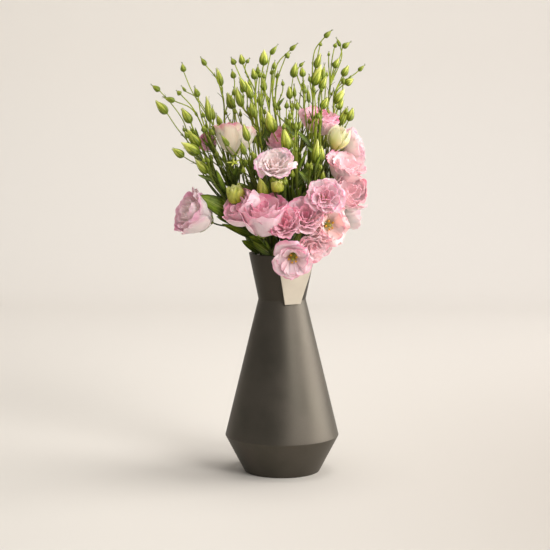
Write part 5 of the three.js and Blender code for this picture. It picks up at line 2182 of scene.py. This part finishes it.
    def add_sepals(self, skin: Skin, row: Bloom) -> None:
        """Add the thin sepals under a bloom.

        Args:
            skin: The mesh in the making.
            row: The bloom's layout.
        """
        share, across = lattice(*self.sepal_lattice)
        hub = (self.hub_radius / row.radius, 0, self.hub_turn)
        knots = np.array([hub, *OPENINGS[row.kind].stages[-1]])
        for sepal in range(self.sepals):
            values = glide(knots, share * skin.draw(*self.sepal_reach))
            flare = self.sepal_flare * share**2 * skin.draw(*self.sepal_flare_draw)
            out = values[..., 0] * row.radius + self.sepal_gap + flare
            rise = values[..., 1] * row.length - self.sepal_drop
            half = self.sepal_half * (1 - share) ** self.sepal_power + self.sepal_tip
            turn = row.radius + FULL_TURN * (sepal + 0.5) / self.sepals
            turn = turn + half * across / np.maximum(out, self.sepal_least)
            turn = turn + skin.draw(-self.sepal_sway, self.sepal_sway) * share
            grid = self.crowd(row.frame().place(out, rise, turn), row)
            marks = {Mark.ALONG: share, Mark.ACROSS: across, Mark.TINT: skin.draw(0, 1)}
            skin.sheet(grid, self.sepal_thickness, 1, marks)

    def build(self, row: Bloom, petals: Material, sepal: Material) -> Piece:
        """Build one bloom.

        Args:
            row: Its layout.
            petals: The petal material.
            sepal: The sepal material.

        Returns:
            The finished piece.
        """
        skin = Skin(row.name)
        count = OPENINGS[row.kind].petals
        for place in range(count):
            azimuth = row.radius + place * SPIRAL_TURN + skin.draw(*self.turn_draw)
            share = 1 - (1 - place / (count - 1)) ** self.gather
            self.add_petal(skin, row, share, azimuth)
        self.add_sepals(skin, row)
        body = skin.piece(f"flower_{row.name}", [petals, sepal])
        slot = "cream_petals" if row.tone is Tone.CREAM else "pink_petals"
        return Piece(body, slot, f"bloom_{row.name}")


@dataclass(frozen=True)
class HeartMaker:
    """Builds the pistil and stamens of a bloom that is fully open."""

    length: float = 16.0
    base: float = 5.5
    stamens: int = 5
    pistil_shares: Place = (0, 0.15, 0.32, 0.45, 0.84, 0.92, 1)
    pistil_radii: Place = (2.0, 2.6, 2.5, 1.1, 0.8, 1.9, 1.4)
    filament: Sequence[Place] = ((0.05, 2.2), (0.4, 4.4), (0.68, 6.0), (0.8, 6.4))
    filament_radius: float = 0.35
    filament_step: float = 1.5
    sides: tuple[int, int, int] = (14, 6, 10)
    rings: int = 16
    sway: float = 0.2
    anther_heights: Place = (-2, -1, 0, 1, 2)
    anther_radii: Place = (0.5, 1.5, 1.7, 1.4, 0.5)

    def build(self, row: Bloom, green: Material, yellow: Material) -> Piece:
        """Build one heart.

        Args:
            row: The layout of its bloom.
            green: Material of the pistil.
            yellow: Material of the stamens.

        Returns:
            The finished piece.
        """
        skin = Skin(f"heart {row.name}")
        frame = row.frame()
        pistil_sides, filament_sides, anther_sides = self.sides
        share = np.linspace(0, 1, self.rings)
        line = frame.foot + frame.axis * (self.base + self.length * share)[:, None]
        radii = np.interp(share, self.pistil_shares, self.pistil_radii)
        skin.tube(line, radii, pistil_sides, 0, {Mark.ALONG: share[:, None]})
        at, off = np.array(self.filament).T
        anther = frame.axis * np.array(self.anther_heights)[:, None]
        for stamen in range(self.stamens):
            turn = FULL_TURN * stamen / self.stamens + skin.draw(-self.sway, self.sway)
            line = even_line(frame.place(off, self.base + self.length * at, turn), self.filament_step)
            radii = np.full(len(line), self.filament_radius)
            skin.tube(line, radii, filament_sides, 0, {Mark.ALONG: 0.9})
            marks = {Mark.ALONG: 0.6, Mark.TINT: skin.draw(0, 1)}
            skin.tube(line[-1] + anther, np.array(self.anther_radii), anther_sides, 1, marks)
        body = skin.piece(f"stamens_{row.name}", [green, yellow])
        return Piece(body, "stamens", f"heart_{row.name}")


@dataclass(frozen=True)
class Water:
    """The water in the vase, which keeps its solid and gets a clear rippled finish."""

    colour: Colour = (214, 226, 222)
    shade: Colour = (196, 214, 204)
    ripples: float = 45.0
    clearness: float = 0.25

    def dress(self, node: Body) -> None:
        """Dress the water.

        Args:
            node: The solid that stays.
        """
        material, graph, shader = new_material("water")
        ripple = graph.noise(self.ripples)
        graph.fill(shader, {
            "Base Color": graph.mix(ripple, ink(self.colour), ink(self.shade)),
            "Normal": graph.bump(ripple, strength=0.1, distance=0.001),
            "Roughness": 0.05,
            "IOR": 1.33,
            "Alpha": self.clearness,
        })
        node.data.materials.clear()
        node.data.materials.append(material)
        LOG.info("water: %d faces", len(node.data.polygons))


# Surroundings
@dataclass(frozen=True)
class Lamp:
    """A soft lamp: its place, target and size in metres, power, beam in degrees and colour."""

    name: str
    place: Place
    target: Place
    size: Range
    power: float
    spread: float
    colour: Colour

    def hang(self) -> None:
        """Hang the lamp and point it at its target."""
        light = bpy.data.lights.new(self.name, "AREA")
        light.shape = "RECTANGLE"
        light.size, light.size_y = self.size
        light.energy = self.power
        light.spread = math.radians(self.spread)
        light.color = ink(self.colour)[:3]
        lamp = bpy.data.objects.new(self.name, light)
        lamp.location = self.place
        aim = Vector(self.target) - Vector(self.place)
        lamp.rotation_euler = aim.to_track_quat("-Z", "Y").to_euler()
        bpy.context.scene.collection.objects.link(lamp)


MIDDLE = (0.0, 0.0, 0.4)
LAMPS = (
    Lamp("window", (2.4, 0.15, 0.85), MIDDLE, (2.6, 1.6), 29, 100, (255, 251, 248)),
    Lamp("front", (2.0, -2.6, 2.1), MIDDLE, (1.5, 1.5), 77, 180, (255, 252, 250)),
    Lamp("above", (0.5, 0.2, 3.2), MIDDLE, (1.6, 1.6), 38, 180, (255, 251, 249)),
    Lamp("wash", (2.6, 0.9, 1.8), (1.4, 2.6, 0.7), (1.0, 1.0), 9, 140, (255, 251, 247)),
)


@dataclass(frozen=True)
class Studio:
    """The pale floor and wall, and soft light from the right.

    Where the colours blend is in metres: up the wall, back over the floor, and to the right.
    The blend to the right is painted light and shade that evens out the lamp from the right.
    """

    half_width: float = 6000.0
    back: float = 2600.0
    front: float = -4200.0
    height: float = 5200.0
    sweep: float = 700.0
    sweep_steps: int = 16
    wall: Colour = (229, 225, 219)
    wall_left_painted_light: Colour = (238, 234, 227)
    floor: Colour = (218, 214, 206)
    floor_right_painted_shade: Colour = (176, 170, 162)
    rise: Range = (0.0, 1.6)
    depth: Range = (-0.5, 2.2)
    painted_wall_side: Range = (-0.9, 0.9)
    painted_floor_side: Range = (-0.3, 0.8)
    sky: Colour = (255, 252, 250)
    sky_strength: float = 0.38

    def backdrop(self, effects: Effects) -> Body:
        """Build the floor that sweeps up into the wall.

        Args:
            effects: The shared shader groups.

        Returns:
            The backdrop.
        """
        turn = np.linspace(0, math.pi / 2, self.sweep_steps)
        bend = np.stack([
            self.back - self.sweep + self.sweep * np.sin(turn), self.sweep * (1 - np.cos(turn))
        ], axis=1)
        line = [(self.front, 0.0), *bend, (self.back, self.height)]
        grid = np.array([[(x, y, z) for x in (-self.half_width, 0, self.half_width)] for y, z in line])
        skin = Skin("backdrop")
        skin.add(grid, tiles(np.arange(grid.size // 3).reshape(-1, 3)), 0, {})
        return skin.piece("backdrop", [self.ground(effects)])

    def ground(self, effects: Effects) -> Material:
        """Build the material of the floor and the wall.

        Args:
            effects: The shared shader groups.

        Returns:
            The material.
        """
        material, graph, shader = new_material("pale_ground")
        place = graph.axes()
        up, back = graph.ramp(place["Z"], self.rise), graph.ramp(place["Y"], self.depth)
        # Painted light and shade: the wall is lighter on its left and the floor darker on its right,
        # evening out the window lamp.
        wall = graph.mix(graph.ramp(place["X"], self.painted_wall_side), ink(self.wall_left_painted_light), ink(self.wall))
        floor = graph.mix(graph.ramp(place["X"], self.painted_floor_side), ink(self.floor), ink(self.floor_right_painted_shade))
        tone = graph.mix(graph.math("MAXIMUM", up, back), floor, wall)
        mottle = graph.effect(effects.mottle, First=tone, Second=tone, Scale=1.2)
        graph.fill(shader, {
            "Base Color": mottle["Colour"],
            "Roughness": 0.7,
            "Specular IOR Level": 0.2,
        })
        return material

    def build(self, effects: Effects) -> None:
        """Set the stage and the light.

        Args:
            effects: The shared shader groups.
        """
        self.backdrop(effects)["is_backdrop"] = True
        for lamp in LAMPS:
            lamp.hang()
        scene = bpy.context.scene
        scene.world = bpy.data.worlds.new("pale_room")
        scene.world.use_nodes = True
        sky = scene.world.node_tree.nodes["Background"]
        sky.inputs["Color"].default_value = ink(self.sky)
        sky.inputs["Strength"].default_value = self.sky_strength
        scene.view_settings.view_transform = "Standard"


Box = Sequence[Sequence[float]]
GREEN_MARGIN = 1.0
BLOOM_MARGIN = 8.0


def keep_inside(body: Body, box: Box, margin: float) -> None:
    """Draw the outermost points of a piece softly back inside a box.

    Args:
        body: The piece.
        box: The box's low and high corners, in metres.
        margin: Depth of the zone in which points are drawn back.
    """
    low, high = np.array(box)
    zone = margin * METRES
    points = np.empty(len(body.data.vertices) * 3, np.float32)
    body.data.vertices.foreach_get("co", points)
    points = points.reshape(-1, 3)
    for sign, limit in ((1, high), (-1, -low)):
        over = sign * points - (limit - zone)
        drawn = limit - zone + zone * (1 - np.exp(-np.maximum(over, 0) / zone))
        points = np.where(over > 0, sign * drawn, points)
    body.data.vertices.foreach_set("co", points.astype(np.float32).ravel())
    body.data.update()


def dress_bunch(frame: dict[str, object], box: Box, effects: Effects) -> None:
    """Build every piece in order.

    Args:
        frame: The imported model.
        box: Low and high corners of the solid model, in metres.
        effects: The shared shader groups.
    """
    vase = Vase()
    pieces = [vase.build(effects), NeckPlate().build(vase, effects)]
    Water().dress(frame["nodes"]["water"])
    greens = [GREENS[part].material(effects) for part in Green]
    sprays = SprayMaker(StemStyle(vase))
    grown = [sprays.build(row, BLOOMS, greens) for row in SPRAYS]
    petals = {tone: finish.material(effects) for tone, finish in PETALS.items()}
    maker = BloomMaker(tuple(BLOOMS))
    heads = [maker.build(row, petals[row.tone], greens[Green.SEPAL]) for row in BLOOMS]
    ovary, anther = OVARY.material(effects), ANTHER.material(effects)
    hearts = HeartMaker()
    heads += [hearts.build(row, ovary, anther) for row in BLOOMS if row.kind is Kind.OPEN]
    for made, margin in ((grown, GREEN_MARGIN), (heads, BLOOM_MARGIN)):
        for piece in made:
            keep_inside(piece.body, box, margin)
    for piece in pieces + grown + heads:
        piece.join()


def main() -> None:
    """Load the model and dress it."""
    logging.basicConfig(level=logging.INFO, format="%(name)s: %(message)s", stream=sys.stdout)
    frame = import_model()
    cad_box = [list(corner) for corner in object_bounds()]
    effects = Effects()
    EYE.set_camera()
    dress_bunch(frame, cad_box, effects)
    Studio().build(effects)


if __name__ == "__main__":
    main()
